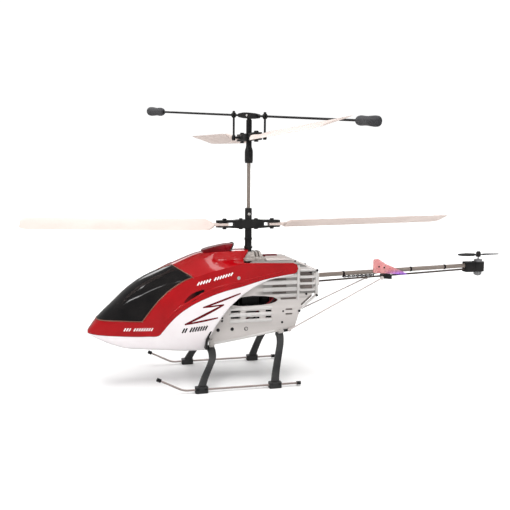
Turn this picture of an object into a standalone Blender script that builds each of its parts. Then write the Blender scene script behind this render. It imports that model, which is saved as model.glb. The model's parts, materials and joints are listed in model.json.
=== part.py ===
"""Coaxial toy helicopter: two contra-rotating rotors on one mast, pressed metal frame, wire skids.

+X is the nose, +Y the left side, +Z up. Lengths are in millimetres and scaled to metres by MM.
Stations along X are measured from the mast, whose place in the model is MAST_X.
"""
import math

import bmesh
import bpy
from mathutils import Matrix, Vector

MM = 0.001
GAP = 0.3                    # clearance between neighbouring pieces

# Driving dimensions
NOSE_X = 183.0               # nose tip, ahead of the mast
ROTOR_RADIUS = 250.0
TAIL_ROTOR_X = -299.0
TAIL_ROTOR_RADIUS = 28.0
TAIL_ROTOR_Z = 136.0
MAST_X = (-(TAIL_ROTOR_X - TAIL_ROTOR_RADIUS) - ROTOR_RADIUS) / 2
FRAME_INNER_Y = 21.0         # inner face of each side frame
FRAME_OUTER_Y = 22.6
SHELL = 1.2                  # canopy wall

# Mast and rotors
INNER_SHAFT_R = 2.0
OUTER_SHAFT_R = 4.0
INNER_BORE_R = 2.4
LOWER_ROTOR_Z = 178.2
UPPER_ROTOR_Z = 277.0
FLYBAR_Z = 301.0
UPPER_ROTOR_TURN = math.radians(93.5)     # direction of the left upper blade, from +X
FLYBAR_TURN = math.radians(127.0)
FLYBAR_TILT = math.radians(4.0)           # near end low at rest
LINK_RADIUS = 23.0
BOLT_RADIUS_FROM_MAST = 28.0
FORK_TIP = 38.0
BLADE_CHORD = 33.0
BLADE_PITCH = math.radians(19.0)
BOLT_HOLE_R = 1.4                         # in the forks; the blade root's hole is a little wider
BOLT_STATIONS = (-BOLT_RADIUS_FROM_MAST, BOLT_RADIUS_FROM_MAST)
YOKE_PIN_R = 1.2
FLYBAR_PIN_R = 1.0
FLYBAR_ROD_R = 1.25

# Gears
GEAR_TEETH = 48
PINION_TEETH = 8
GEAR_MODULE = 0.75
GEAR_CENTRES = GEAR_MODULE * (GEAR_TEETH + PINION_TEETH) / 2
INNER_GEAR_Z = (103.0, 108.0)
OUTER_GEAR_Z = (116.5, 121.5)

# Landing gear
SKID_Y = 55.5
SKID_Z = 3.4
SKID_WIRE_R = 1.1
SKID_REAR_X = -47.0
SKID_BEND_X = 78.0
SKID_BEND_R = 22.0
SKID_RISE = math.radians(27)
SKID_TIP_RUN = 25.0          # straight run after the bend


def clear_scene():
    for item in list(bpy.data.objects):
        bpy.data.objects.remove(item, do_unlink=True)


def material(name, color, roughness, metallic=0.0):
    made = bpy.data.materials.new(name)
    made.use_nodes = True
    shader = made.node_tree.nodes["Principled BSDF"]
    shader.inputs["Base Color"].default_value = (*color, 1.0)
    shader.inputs["Roughness"].default_value = roughness
    shader.inputs["Metallic"].default_value = metallic
    made.diffuse_color = (*color, 1.0)
    return made


# ---- shapes, in millimetres ----

def mesh_from(points, faces):
    mesh = bmesh.new()
    verts = [mesh.verts.new(p) for p in points]
    for face in faces:
        mesh.faces.new([verts[i] for i in face])
    bmesh.ops.recalc_face_normals(mesh, faces=mesh.faces)
    return mesh


def skin(rings):
    """Quads between equal closed rings of points, with both ends capped."""
    count = len(rings[0])
    points = [p for outline in rings for p in outline]
    faces = []
    for i in range(len(rings) - 1):
        for j in range(count):
            k = (j + 1) % count
            faces.append((i * count + j, i * count + k, (i + 1) * count + k, (i + 1) * count + j))
    faces.append(tuple(range(count)))
    faces.append(tuple(range((len(rings) - 1) * count, len(rings) * count)))
    return mesh_from(points, faces)


def box(x, y, z):
    return skin([[(x[0], y[0], h), (x[1], y[0], h), (x[1], y[1], h), (x[0], y[1], h)] for h in z])


def prism_y(outline, y):
    """An outline of (x, z) points extruded along Y."""
    return skin([[(px, side, pz) for px, pz in outline] for side in y])


def prism_z(outline, z):
    return skin([[(px, py, height) for px, py in outline] for height in z])


def lathe(profile, segments=16):
    """(radius, z) points turned about Z; the profile starts and ends on the axis."""
    points = [(0.0, 0.0, profile[0][1])]
    inner = profile[1:-1]
    for radius, z in inner:
        for j in range(segments):
            turn = 2 * math.pi * j / segments
            points.append((radius * math.cos(turn), radius * math.sin(turn), z))
    points.append((0.0, 0.0, profile[-1][1]))
    last = len(points) - 1
    faces = []
    for j in range(segments):
        k = (j + 1) % segments
        faces.append((0, 1 + j, 1 + k))
        for i in range(len(inner) - 1):
            low = 1 + i * segments
            faces.append((low + j, low + segments + j, low + segments + k, low + k))
        faces.append((last - segments + j, last, last - segments + k))
    return mesh_from(points, faces)


def rod(start, end, radius, segments=12):
    """A round bar between two points."""
    start, end = Vector(start), Vector(end)
    length = (end - start).length
    bar = lathe([(0, 0), (radius, 0), (radius, length), (0, length)], segments)
    turn = (end - start).to_track_quat("Z", "X").to_matrix().to_4x4()
    return moved(bar, Matrix.Translation(start) @ turn)


def hollow_tube(inner, outer, z, segments=20):
    corners = ((inner, z[0]), (outer, z[0]), (outer, z[1]), (inner, z[1]))
    points, faces = [], []
    for j in range(segments):
        turn = 2 * math.pi * j / segments
        for radius, height in corners:
            points.append((radius * math.cos(turn), radius * math.sin(turn), height))
    for j in range(segments):
        k = (j + 1) % segments
        for i in range(4):
            n = (i + 1) % 4
            faces.append((j * 4 + i, k * 4 + i, k * 4 + n, j * 4 + n))
    return mesh_from(points, faces)


def sweep(path, half_width, half_depth, width_axis):
    """A chamfered flat bar along a path; its width stays along width_axis."""
    width_axis = Vector(width_axis).normalized()
    outline = []
    for across, through in ((1, 0.45), (0.6, 1), (-0.6, 1), (-1, 0.45)):
        outline.append((across * half_width, through * half_depth))
    outline += [(-a, -t) for a, t in outline]
    rings = []
    for i, point in enumerate(path):
        before = Vector(path[max(i - 1, 0)])
        after = Vector(path[min(i + 1, len(path) - 1)])
        normal = (after - before).normalized().cross(width_axis).normalized()
        rings.append([Vector(point) + width_axis * a + normal * t for a, t in outline])
    return skin(rings)


def wire(path, radius, segments=8):
    """A round wire along a path that lies in a plane of constant y."""
    rings = []
    for i, point in enumerate(path):
        before = Vector(path[max(i - 1, 0)])
        after = Vector(path[min(i + 1, len(path) - 1)])
        side = (after - before).normalized().cross(Vector((0, 1, 0)))
        rings.append([
            Vector(point) + side * radius * math.cos(t) + Vector((0, radius * math.sin(t), 0))
            for t in (2 * math.pi * j / segments for j in range(segments))
        ])
    return skin(rings)


def moved(mesh, matrix):
    bmesh.ops.transform(mesh, matrix=matrix, verts=mesh.verts)
    if matrix.determinant() < 0:
        bmesh.ops.reverse_faces(mesh, faces=mesh.faces)
    return mesh


def shifted(mesh, x=0.0, y=0.0, z=0.0):
    return moved(mesh, Matrix.Translation((x, y, z)))


def turned(mesh, angle, axis="Z"):
    return moved(mesh, Matrix.Rotation(angle, 4, axis))


def mirrored(mesh):
    """The same piece on the other side of the XZ plane."""
    return moved(mesh, Matrix.Diagonal((1, -1, 1, 1)))


def combined(base, tool, operation):
    """Boolean of two meshes; both are used up."""
    holders = []
    for source in (base, tool):
        data = bpy.data.meshes.new("working")
        source.to_mesh(data)
        source.free()
        holder = bpy.data.objects.new("working", data)
        bpy.context.scene.collection.objects.link(holder)
        holders.append(holder)
    step = holders[0].modifiers.new("boolean", "BOOLEAN")
    step.operation = operation
    step.solver = "EXACT"
    step.object = holders[1]
    graph = bpy.context.evaluated_depsgraph_get()
    data = bpy.data.meshes.new_from_object(holders[0].evaluated_get(graph))
    result = bmesh.new()
    result.from_mesh(data)
    for holder in holders:
        bpy.data.objects.remove(holder, do_unlink=True)
    bmesh.ops.dissolve_degenerate(result, edges=result.edges, dist=0.0005)
    return result


def joined(base, *tools):
    for tool in tools:
        base = combined(base, tool, "UNION")
    return base


def cut(base, *tools):
    for tool in tools:
        base = combined(base, tool, "DIFFERENCE")
    return base


def add_part(name, mesh, finish, pivot=(0, 0, 0), sharp=35):
    """Make the named object, with its origin on its pivot, under the mast's empty."""
    shifted(mesh, *(-Vector(pivot)))
    bmesh.ops.scale(mesh, vec=(MM, MM, MM), verts=mesh.verts)
    data = bpy.data.meshes.new(name)
    mesh.to_mesh(data)
    mesh.free()
    data.materials.append(finish)
    data.shade_smooth()
    data.set_sharp_from_angle(angle=math.radians(sharp))
    made = bpy.data.objects.new(name, data)
    bpy.context.scene.collection.objects.link(made)
    made.location = Vector(pivot) * MM
    made.parent = bpy.data.objects["mast_station"]
    return made


# ---- canopy ----

# Side profile: station x, bottom z, top z
CANOPY_PROFILE = (
    (183, 59.5, 62.5), (180.5, 57.6, 66.5), (172, 53, 77.5), (157, 46.4, 92), (140, 41.4, 108),
    (123, 39.8, 119.8), (102, 38, 129.6), (80, 36, 139.2), (60, 35.4, 146.6), (45, 35.4, 148.5),
    (25, 35.4, 149.4), (8, 35.4, 149.8), (-62, 35.4, 149.8),
)
CANOPY_HALF_WIDTH = 36.0
CANOPY_WIDEST_X = 60.0
# Shoulder crease behind the window: station x, half width, z
SHOULDER = ((100, 31, 108), (80, 32.5, 119), (60, 32, 125), (45, 31.2, 129.5), (25, 29.8, 133.5),
            (8, 28.3, 136.3), (-62, 26.4, 137))
WINDOW_OUTLINE = (
    (200, 75.4), (171, 75.6), (150, 76.2), (124.5, 75.6), (121, 80.6), (115, 88.6), (107, 98.2),
    (96, 108.4), (86, 115.2), (77, 120.4), (68.5, 123.2), (91, 135.8), (93, 150), (200, 150),
)
# Point of body colour that runs forward along the ridge between the window's rear corners: x, y
RIDGE_POINT = ((105, 0), (87, 8.5), (60, 21), (60, -21), (87, -8.5))
CANOPY_OUTLINE = (
    (-47, 135.3), (10.8, 137), (1.5, 150), (1.5, 170), (200, 170), (200, 20), (55, 20), (54.2, 40),
    (51.5, 53.7), (43.2, 69.3), (35.5, 80), (27.3, 89.2), (12.5, 101.1), (-3, 110), (-19.8, 117.2),
    (-47, 121.6), (-51.5, 124.8), (-53, 128.8), (-51.3, 133.4),
)
MAST_NOTCH_R = 6.0


def along(table, x, column):
    """Smooth value of one column of a table whose first column falls."""
    rows = list(table)
    if x >= rows[0][0]:
        return rows[0][column]
    for i in range(len(rows) - 1):
        a, b = rows[i], rows[i + 1]
        if a[0] >= x >= b[0]:
            span = a[0] - b[0]
            t = (a[0] - x) / span
            before = rows[i - 1] if i > 0 else a
            after = rows[i + 2] if i + 2 < len(rows) else b
            start = (b[column] - before[column]) / (before[0] - b[0]) * span
            end = (after[column] - a[column]) / (a[0] - after[0]) * span
            t2, t3 = t * t, t * t * t
            return ((2 * t3 - 3 * t2 + 1) * a[column] + (t3 - 2 * t2 + t) * start
                    + (3 * t2 - 2 * t3) * b[column] + (t3 - t2) * end)
    return rows[-1][column]


def blend(low, high, x):
    """0 at low, 1 at high, smooth between."""
    t = min(max((x - low) / (high - low), 0.0), 1.0)
    return t * t * (3 - 2 * t)


def canopy_half_width(x):
    if x > CANOPY_WIDEST_X:
        reach = (x - CANOPY_WIDEST_X) / (NOSE_X + 0.6 - CANOPY_WIDEST_X)
        return CANOPY_HALF_WIDTH * math.sqrt(max(1 - reach * reach, 0.002))
    return 27 + 9 * blend(-15, CANOPY_WIDEST_X, x)


def canopy_section(x, inset):
    """Closed ring of points (x, y, z) around the canopy at one station."""
    bottom = along(CANOPY_PROFILE, x, 1)
    top = along(CANOPY_PROFILE, x, 2)
    wide = canopy_half_width(x)
    height = top - bottom
    creased = 1 - blend(62, 100, x)
    humped = 1 - blend(46, 60, x)
    corners = [(0, 0), (0.5, 0.015), (0.84, 0.13), (0.98, 0.33), (1.0, 0.5), (0.955, 0.67)]
    half = [(across * wide, bottom + up * height) for across, up in corners]
    round_top = [(0.83 * wide, bottom + 0.82 * height), (0.58 * wide, bottom + 0.93 * height),
                 (0.3 * wide, bottom + 0.985 * height)]
    shoulder = (along(SHOULDER, x, 1), along(SHOULDER, x, 2))
    slope = (shoulder[0] * 0.62, shoulder[1] * 0.38 + top * 0.62 - 2)
    hump = ((16.8, 139.8), (10.5, top - 1.0))
    flank = [shoulder, tuple(s + humped * (h - s) for s, h in zip(slope, hump[0])),
             tuple(s + humped * (h - s) for s, h in zip((8.5, top - 1.2), hump[1]))]
    for soft, hard in zip(round_top, flank):
        half.append(tuple(s + creased * (h - s) for s, h in zip(soft, hard)))
    half.append((0, top))
    smooth = smooth_run(half, 2)
    if inset:
        smooth = inset_run(smooth, inset)
    mirror = [(-y, z) for y, z in reversed(smooth[1:-1])]
    return [(x, y, z) for y, z in smooth + mirror]


def smooth_run(points, steps):
    """Catmull-Rom curve through the points, with even steps between them."""
    run = []
    for i in range(len(points) - 1):
        a, b = points[i], points[i + 1]
        before = points[i - 1] if i else (-b[0], b[1])
        after = points[i + 2] if i + 2 < len(points) else (-a[0], a[1])
        for step in range(steps):
            t = step / steps
            run.append(tuple(
                0.5 * (2 * a[c] + (b[c] - before[c]) * t
                       + (2 * before[c] - 5 * a[c] + 4 * b[c] - after[c]) * t * t
                       + (3 * a[c] - before[c] - 3 * b[c] + after[c]) * t ** 3)
                for c in (0, 1)))
    run.append(points[-1])
    return run


def inset_run(run, distance):
    """The half section moved inwards by a distance."""
    moved_run = []
    for i, (y, z) in enumerate(run):
        before = run[i - 1] if i else (-run[1][0], run[1][1])
        after = run[i + 1] if i + 1 < len(run) else (-run[-2][0], run[-2][1])
        along_y, along_z = after[0] - before[0], after[1] - before[1]
        length = math.hypot(along_y, along_z)
        moved_run.append((y - along_z / length * distance if 0 < i < len(run) - 1 else 0.0,
                          z + along_y / length * distance))
    return moved_run


CANOPY_STATIONS = (183, 181.5, 178, 172, 164, 154, 142, 129, 116, 103, 91, 80, 70, 61, 53, 46, 34, 20,
                   6, -10, -30, -58)


def canopy_shell_mesh():
    outer = skin([canopy_section(x, 0) for x in CANOPY_STATIONS])
    inner_stations = [x for x in CANOPY_STATIONS if x < 180] + [-62]
    inner = skin([canopy_section(x, SHELL) for x in inner_stations])
    return cut(outer, inner)


def grown(outline, distance):
    """An outline moved outwards, or inwards for a negative distance."""
    count = len(outline)
    area = sum(outline[i][0] * outline[(i + 1) % count][1] - outline[(i + 1) % count][0] * outline[i][1]
               for i in range(count))
    sign = 1 if area > 0 else -1
    result = []
    for i in range(count):
        a, b, c = outline[i - 1], outline[i], outline[(i + 1) % count]
        first = Vector((b[0] - a[0], b[1] - a[1])).normalized()
        second = Vector((c[0] - b[0], c[1] - b[1])).normalized()
        normal = Vector((first.y + second.y, -first.x - second.x)).normalized() * sign
        scale = distance / max(normal.dot(Vector((first.y, -first.x)) * sign), 0.4)
        result.append((b[0] + normal.x * scale, b[1] + normal.y * scale))
    return result


def build_canopy():
    red = material("canopy_red", (0.55, 0.02, 0.03), 0.2)
    smoke = material("window_smoke", (0.02, 0.02, 0.02), 0.1)
    dark_red = material("scoop_red", (0.25, 0.02, 0.03), 0.2)
    across = (-60, 60)
    tall = (20, 170)
    shell = combined(canopy_shell_mesh(), prism_y(CANOPY_OUTLINE, across), "INTERSECT")
    opening = cut(prism_y(WINDOW_OUTLINE, across), prism_z(RIDGE_POINT, tall))
    notch = rod((0, 0, 141), (0, 0, 171), MAST_NOTCH_R, 20)
    add_part("canopy_shell", cut(shell, opening, notch), red, sharp=30)
    window = combined(canopy_shell_mesh(), prism_y(grown(WINDOW_OUTLINE, -GAP), across), "INTERSECT")
    add_part("canopy_window", cut(window, prism_z(grown(RIDGE_POINT, GAP), tall)), smoke, sharp=30)

    roof = ((54, 149.2), (52, 150.7), (36, 154.6), (20, 157), (17.6, 156.4), (19.5, 150.4))
    hollow = ((50, 140), (48, 149.6), (36, 153.1), (20, 155.5), (10, 155.6), (10, 140))
    scoop = cut(prism_y(roof, (-11, 11)), prism_y(hollow, (-9.5, 9.5)))
    add_part("roof_scoop", scoop, dark_red)


# ---- metal frame ----

FRAME_OUTLINE = (
    (47, 43.2), (50, 55), (43, 90), (30, 116), (14, 130), (0, 137.8), (-46, 137.8), (-58, 133),
    (-78.5, 124), (-78.5, 97), (-57, 78.8), (-50.5, 58.5), (-46, 56.3), (-27, 54.6),
)
MOTOR_WINDOW = (
    (26, 88.6), (20, 94), (12, 97.2), (0, 98.4), (-14, 97.6), (-25, 95.9), (-30.5, 93), (-29, 90.6),
    (-22, 88.3), (-12, 87.2), (0, 86.7), (14, 86.7),
)
# Louvre slots in the side frame: front x, rear x, middle z
LOUVRES = ((25, 13.5, 80.6), (7.5, -8.8, 79.8), (-15.8, -23, 80.2), (25, 13.5, 73.6), (7.5, -8.8, 72.6),
           (-15.8, -23, 73.2), (-23.5, -40.4, 116.4), (-23.5, -40.4, 108.6), (-23.5, -40.4, 100.8),
           (-33.5, -52.5, 93.8))
LOUVRE_HEIGHT = 2.4
REAR_SLOTS_Z = (122.0, 114.2, 106.8)
REAR_SLOT_HEIGHT = 4.4
GUSSET_SLOT = ((-57.6, 86.6), (-73.4, 100.2), (-75.2, 97.2), (-59.4, 83.8))


def side_frame():
    plate = prism_y(FRAME_OUTLINE, (FRAME_INNER_Y, FRAME_OUTER_Y))
    openings = [prism_y(MOTOR_WINDOW, (10, 40))]
    for front, rear, z in LOUVRES:
        openings.append(box((rear, front), (10, 40), (z - LOUVRE_HEIGHT / 2, z + LOUVRE_HEIGHT / 2)))
    for z in REAR_SLOTS_Z:
        openings.append(box((-73.4, -56.4), (10, 40), (z - REAR_SLOT_HEIGHT / 2, z + REAR_SLOT_HEIGHT / 2)))
    openings.append(prism_y(GUSSET_SLOT, (10, 40)))
    return cut(plate, *openings)


def build_frame():
    aluminium = material("frame_aluminium", (0.75, 0.74, 0.73), 0.35, 0.9)
    clear = material("cover_clear", (0.8, 0.78, 0.74), 0.25)
    add_part("side_frame_left", side_frame(), aluminium)
    add_part("side_frame_right", mirrored(side_frame()), aluminium)
    inside = FRAME_INNER_Y - GAP
    add_part("rear_bulkhead", box((-74, -72), (-inside, inside), (98, 124)), aluminium)

    edge = [(-16.5, 137.8), (-46, 137.8), (-58, 133), (-78.5, 124)]
    under = [(x, z + GAP) for x, z in edge]
    over = [(x, z + GAP + 1.3) for x, z in reversed(edge)]
    add_part("top_cover", prism_y(under + over, (-FRAME_OUTER_Y, FRAME_OUTER_Y)), clear)

    plate = box((-16, 5), (-22.4, 22.4), (138.1, 140))
    housing = lathe([(0, 139), (10, 139), (9.4, 143), (7.5, 147), (0, 147)], 20)
    bore = rod((0, 0, 130), (0, 0, 150), OUTER_SHAFT_R + GAP, 20)
    add_part("mast_bearing_housing", cut(joined(plate, housing), bore), clear)


def build_chassis():
    black = material("chassis_black", (0.03, 0.03, 0.03), 0.5)
    steel = material("motor_can", (0.1, 0.1, 0.11), 0.3, 0.6)
    pack = material("battery_blue", (0.05, 0.09, 0.2), 0.5)
    green = material("board_green", (0.02, 0.15, 0.06), 0.5)
    inside = FRAME_INNER_Y - GAP
    belly = ((47, 44), (47, 47.5), (-44, 60.2), (-44, 56.8))
    tray = box((40, 114), (-14, 14), (47.2, 49.2))
    add_part("chassis_deck", joined(prism_y(belly, (-inside, inside)), tray), black)
    add_part("battery_pack", box((58, 110), (-12.5, 12.5), (49.6, 65)), pack)
    board = box((-24, 30), (-14, 14), (61.6, 63.2))
    chips = [box((x, x + 8), (y, y + 7), (62.5, 64.6)) for x, y in ((-20, -10), (-4, 2), (14, -8))]
    add_part("receiver_board", joined(board, *chips), green)

    plate = box((-40, 40), (-inside, inside), (96.3, 99.3))
    holes = [rod((0, 0, 90), (0, 0, 105), INNER_SHAFT_R + GAP)]
    holes += [rod((x, 0, 90), (x, 0, 105), 1.0 + GAP) for x in (-GEAR_CENTRES, GEAR_CENTRES)]
    add_part("gear_plate", cut(plate, *holes), black)
    for name, x in (("motor_front", GEAR_CENTRES), ("motor_rear", -GEAR_CENTRES)):
        can = [(0, 66), (8.6, 66), (9.8, 67.2), (9.8, 94), (8.8, 95.7), (0, 95.7)]
        add_part(name, shifted(lathe(can, 20), x), steel)

    switch = box((2, 18), (-27, -FRAME_OUTER_Y - GAP), (62, 70))
    slot = box((5.5, 14.5), (-30, -24.4), (64, 68))
    add_part("switch_housing", cut(switch, slot), black)
    nub = box((6, 10), (-29, -24.7), (64.4, 67.6))
    add_part("switch_slider", nub, material("switch_grey", (0.6, 0.6, 0.6), 0.5))


# ---- gears and shafts ----

def gear_outline(teeth, phase):
    """Trapezoid teeth with backlash; phase is the angle of a tooth's middle."""
    pitch_r = GEAR_MODULE * teeth / 2
    outer_r = pitch_r + 0.75 * GEAR_MODULE
    root_r = pitch_r - GEAR_MODULE
    tooth = 2 * math.pi / teeth
    outline = []
    for i in range(teeth):
        middle = phase + i * tooth
        for radius, offset in ((root_r, -0.27), (outer_r, -0.12), (outer_r, 0.12), (root_r, 0.27)):
            turn = middle + offset * tooth
            outline.append((radius * math.cos(turn), radius * math.sin(turn)))
    return outline


def wheel_gear(z, bore):
    """Gear with a hub, a bore and a tooth gap facing +X and -X."""
    rim = prism_z(gear_outline(GEAR_TEETH, math.pi / GEAR_TEETH), z)
    hub = rod((0, 0, z[0]), (0, 0, z[1] + 3), bore + 3, 16)
    hole = rod((0, 0, z[0] - 5), (0, 0, z[1] + 9), bore, 16)
    return cut(joined(rim, hub), hole)


def pinion(x, z):
    """Small gear on its motor shaft, one tooth facing the mast."""
    facing = math.pi if x > 0 else 0.0
    teeth = shifted(prism_z(gear_outline(PINION_TEETH, facing), z), x)
    shaft = rod((x, 0, 96), (x, 0, z[1] + 1), 1.0, 10)
    return joined(teeth, shaft)


def build_drive():
    steel = material("shaft_steel", (0.55, 0.52, 0.5), 0.3, 1.0)
    white = material("gear_white", (0.85, 0.85, 0.82), 0.4)
    brass = material("pinion_brass", (0.7, 0.5, 0.2), 0.35, 1.0)
    black = material("mast_black", (0.025, 0.024, 0.024), 0.45)
    add_part("inner_shaft", rod((0, 0, 97), (0, 0, 262), INNER_SHAFT_R, 16), steel)
    sleeve = joined(hollow_tube(INNER_BORE_R, OUTER_SHAFT_R, (112, 172)),
                    hollow_tube(INNER_BORE_R + 0.2, OUTER_SHAFT_R + 1, (150.6, 152.6)))
    add_part("outer_shaft", sleeve, black)
    add_part("inner_gear", wheel_gear(INNER_GEAR_Z, INNER_SHAFT_R + GAP), white)
    add_part("outer_gear", wheel_gear(OUTER_GEAR_Z, OUTER_SHAFT_R + GAP), white)
    front = (INNER_GEAR_Z[0] - 0.5, INNER_GEAR_Z[1] + 0.5)
    rear = (OUTER_GEAR_Z[0] - 0.5, OUTER_GEAR_Z[1] + 0.5)
    add_part("pinion_front", pinion(GEAR_CENTRES, front), brass, pivot=(GEAR_CENTRES, 0, 96))
    add_part("pinion_rear", pinion(-GEAR_CENTRES, rear), brass, pivot=(-GEAR_CENTRES, 0, 96))


# ---- rotor blades ----

TAB_START, TAB_END = 24.0, 40.5
TAB_THICKNESS = 3.2
TAB_HALF_WIDTH = 5.2


def blade_ring(radius, chord, thick, pitch, boxy, sweep_back, rise):
    """Closed section across the blade: leading edge at +y."""
    ring_points = []
    for j in range(12):
        turn = 2 * math.pi * j / 12
        across = math.copysign(abs(math.cos(turn)) ** boxy, math.cos(turn)) * chord / 2
        up = math.copysign(abs(math.sin(turn)) ** boxy, math.sin(turn)) * thick / 2
        y = across * math.cos(pitch) - up * math.sin(pitch)
        z = across * math.sin(pitch) + up * math.cos(pitch)
        ring_points.append((radius, y - sweep_back, z + rise))
    return ring_points


def blade(turns_ccw):
    """One blade along +X, its bolt hole at BOLT_RADIUS_FROM_MAST."""
    rings = []
    for radius in (TAB_START, TAB_END):
        rings.append(blade_ring(radius, 2 * TAB_HALF_WIDTH, TAB_THICKNESS, 0, 0.3, 0, 0))
    stations = ((42, 0.62, 3.6), (46, 0.82, 3.6), (52, 0.94, 3.0), (62, 1.0, 2.4), (120, 1.0, 2.0),
                (190, 1.0, 1.8), (236, 0.98, 1.5), (246, 0.86, 1.2), (ROTOR_RADIUS, 0.6, 0.9))
    for radius, share, thick in stations:
        pitch = BLADE_PITCH * min((radius - TAB_END) / 7, 1.0)
        back = BLADE_CHORD * (1 - share) * (0.35 if radius > 200 else 0.0)
        rise = 0.02 * (radius - TAB_END)
        rings.append(blade_ring(radius, BLADE_CHORD * share, thick, pitch, 0.9, back, rise))
    made = skin(rings)
    hole = rod((BOLT_RADIUS_FROM_MAST, 0, -9), (BOLT_RADIUS_FROM_MAST, 0, 9), 1.5)
    made = cut(made, hole)
    return made if turns_ccw else mirrored(made)


def blade_bolt(z, top, bottom):
    """Screw through both prongs and the blade root, with its nut."""
    profile = [(0, z + top + 1.9), (2.0, z + top + 1.9), (2.6, z + top + 1.3), (2.6, z + top + GAP),
               (1.1, z + top + GAP), (1.1, z - bottom - GAP), (2.4, z - bottom - GAP),
               (2.4, z - bottom - 1.9), (0, z - bottom - 1.9)]
    return shifted(lathe(profile, 12), BOLT_RADIUS_FROM_MAST)


UPPER_PRONG = (2.1, 4.9)     # above the blade root's middle, lower rotor
LOWER_PRONG = (2.1, 3.7)


def lower_yoke_mesh():
    half = [(0, 5.4), (13, 5.4), (16, UPPER_PRONG[1]), (FORK_TIP, UPPER_PRONG[1] - 0.3),
            (FORK_TIP, UPPER_PRONG[0]), (17.5, UPPER_PRONG[0]), (17.5, -LOWER_PRONG[0]),
            (FORK_TIP, -LOWER_PRONG[0]), (FORK_TIP, -LOWER_PRONG[1] + 0.4), (24, -LOWER_PRONG[1]),
            (11, -4.6), (0, -4.6)]
    outline = half + [(-x, z) for x, z in reversed(half[1:-1])]
    yoke = prism_y([(x, z + LOWER_ROTOR_Z) for x, z in outline], (-5, 5))
    collar = rod((0, 0, 172.3), (0, 0, 196.7), OUTER_SHAFT_R, 20)
    bosses = [rod((x, 0, 172.4), (x, 0, 184.8), 2.3) for x in (-9, 9)]
    holes = [rod((x, 0, 160), (x, 0, 200), BOLT_HOLE_R) for x in BOLT_STATIONS]
    bore = rod((0, 0, 160), (0, 0, 210), INNER_BORE_R, 16)
    return cut(joined(yoke, collar, *bosses), bore, *holes)


def build_lower_rotor():
    black = material("hub_black", (0.025, 0.024, 0.024), 0.45)
    white = material("blade_white", (0.85, 0.83, 0.8), 0.3)
    steel = material("bolt_steel", (0.2, 0.2, 0.2), 0.35, 0.9)
    add_part("lower_yoke", lower_yoke_mesh(), black)
    for name, turn in (("front", 0.0), ("rear", math.pi)):
        pivot = Vector((BOLT_RADIUS_FROM_MAST, 0, LOWER_ROTOR_Z))
        pivot.rotate(Matrix.Rotation(turn, 3, "Z"))
        bolt = turned(blade_bolt(LOWER_ROTOR_Z, UPPER_PRONG[1] - 0.1, LOWER_PRONG[1]), turn)
        add_part("lower_bolt_" + name, bolt, steel)
        wing = turned(shifted(blade(False), z=LOWER_ROTOR_Z), turn)
        add_part("lower_blade_" + name, wing, white, pivot=pivot)


def upper_yoke_mesh():
    """Rocking frame around the post, with a fork and a pitch arm each way along its local X."""
    z = UPPER_ROTOR_Z
    middle = box((-11, 11), (-7.6, 7.6), (z - 3.6, z + 3.6))
    parts = []
    for side in (1, -1):
        half = [(9, 3.6), (20, 4.0), (FORK_TIP, 4.2), (FORK_TIP, 2.1), (22, 2.1), (22, -2.1),
                (FORK_TIP, -2.1), (FORK_TIP, -3.8), (20, -4.0), (9, -3.6)]
        outline = [(side * x, z + h) for x, h in half]
        parts.append(prism_y(outline, (-4.8, 4.8)))
        arm_x, arm_y = pitch_arm()
        parts.append(rod((side * arm_x, side * 3, z), (side * arm_x, side * (arm_y - 2.8), z), 1.5))
    yoke = joined(middle, *parts)
    opening = box((-4.4, 4.4), (-4.7, 4.7), (z - 9, z + 9))
    holes = [rod((x, 0, z - 9), (x, 0, z + 9), BOLT_HOLE_R) for x in BOLT_STATIONS]
    holes.append(rod((-8.6, 0, z), (8.6, 0, z), YOKE_PIN_R + GAP))
    return cut(yoke, opening, *holes)


def pitch_arm():
    """Place of a link in the upper yoke's own axes."""
    between = FLYBAR_TURN - UPPER_ROTOR_TURN
    return LINK_RADIUS * math.cos(between), LINK_RADIUS * math.sin(between)


def rotor_head_mesh():
    """Collar on the inner shaft, neck and post, with the yoke's pin and the flybar's pin."""
    profile = [(0, 303.4), (2.2, 303.4), (2.3, 302.8), (2.3, 296.9), (3.2, 296.2), (3.2, 266.5),
               (4.2, 263.5), (4.65, 261), (4.65, 250), (4.1, 247.9), (INNER_SHAFT_R + GAP, 247.9),
               (INNER_SHAFT_R + GAP, 262.3), (0, 262.3)]
    head = lathe(profile, 20)
    yoke_pin = turned(rod((-8, 0, UPPER_ROTOR_Z), (8, 0, UPPER_ROTOR_Z), YOKE_PIN_R), UPPER_ROTOR_TURN)
    flybar_pin = turned(rod((0, -3.7, FLYBAR_Z), (0, 3.7, FLYBAR_Z), FLYBAR_PIN_R), FLYBAR_TURN)
    return joined(head, yoke_pin, flybar_pin)


def flybar_tilted(mesh):
    """From the flybar's own axes, rod along X with the left end low, to the mast's."""
    pivot = Matrix.Translation((0, 0, FLYBAR_Z))
    tilt = Matrix.Rotation(FLYBAR_TILT, 4, "Y")
    turn = Matrix.Rotation(FLYBAR_TURN, 4, "Z")
    return moved(mesh, turn @ pivot @ tilt)


def flybar_hub_mesh():
    half = [(0, 3.4), (6, 3.2), (13, 1.9), (13, -2.2), (6, -3.2), (0, -3.4)]
    outline = half + [(-x, z) for x, z in reversed(half[1:-1])]
    hub = prism_y(outline, (-4.3, 4.3))
    opening = box((-3.9, 3.9), (-2.65, 2.65), (-6, 6))
    bores = [rod((s * 5, 0, 0), (s * 20, 0, 0), FLYBAR_ROD_R + GAP) for s in (1, -1)]
    pin = rod((0, -3.95, 0), (0, 3.95, 0), FLYBAR_PIN_R + GAP)
    return flybar_tilted(cut(hub, opening, pin, *bores))


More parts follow.
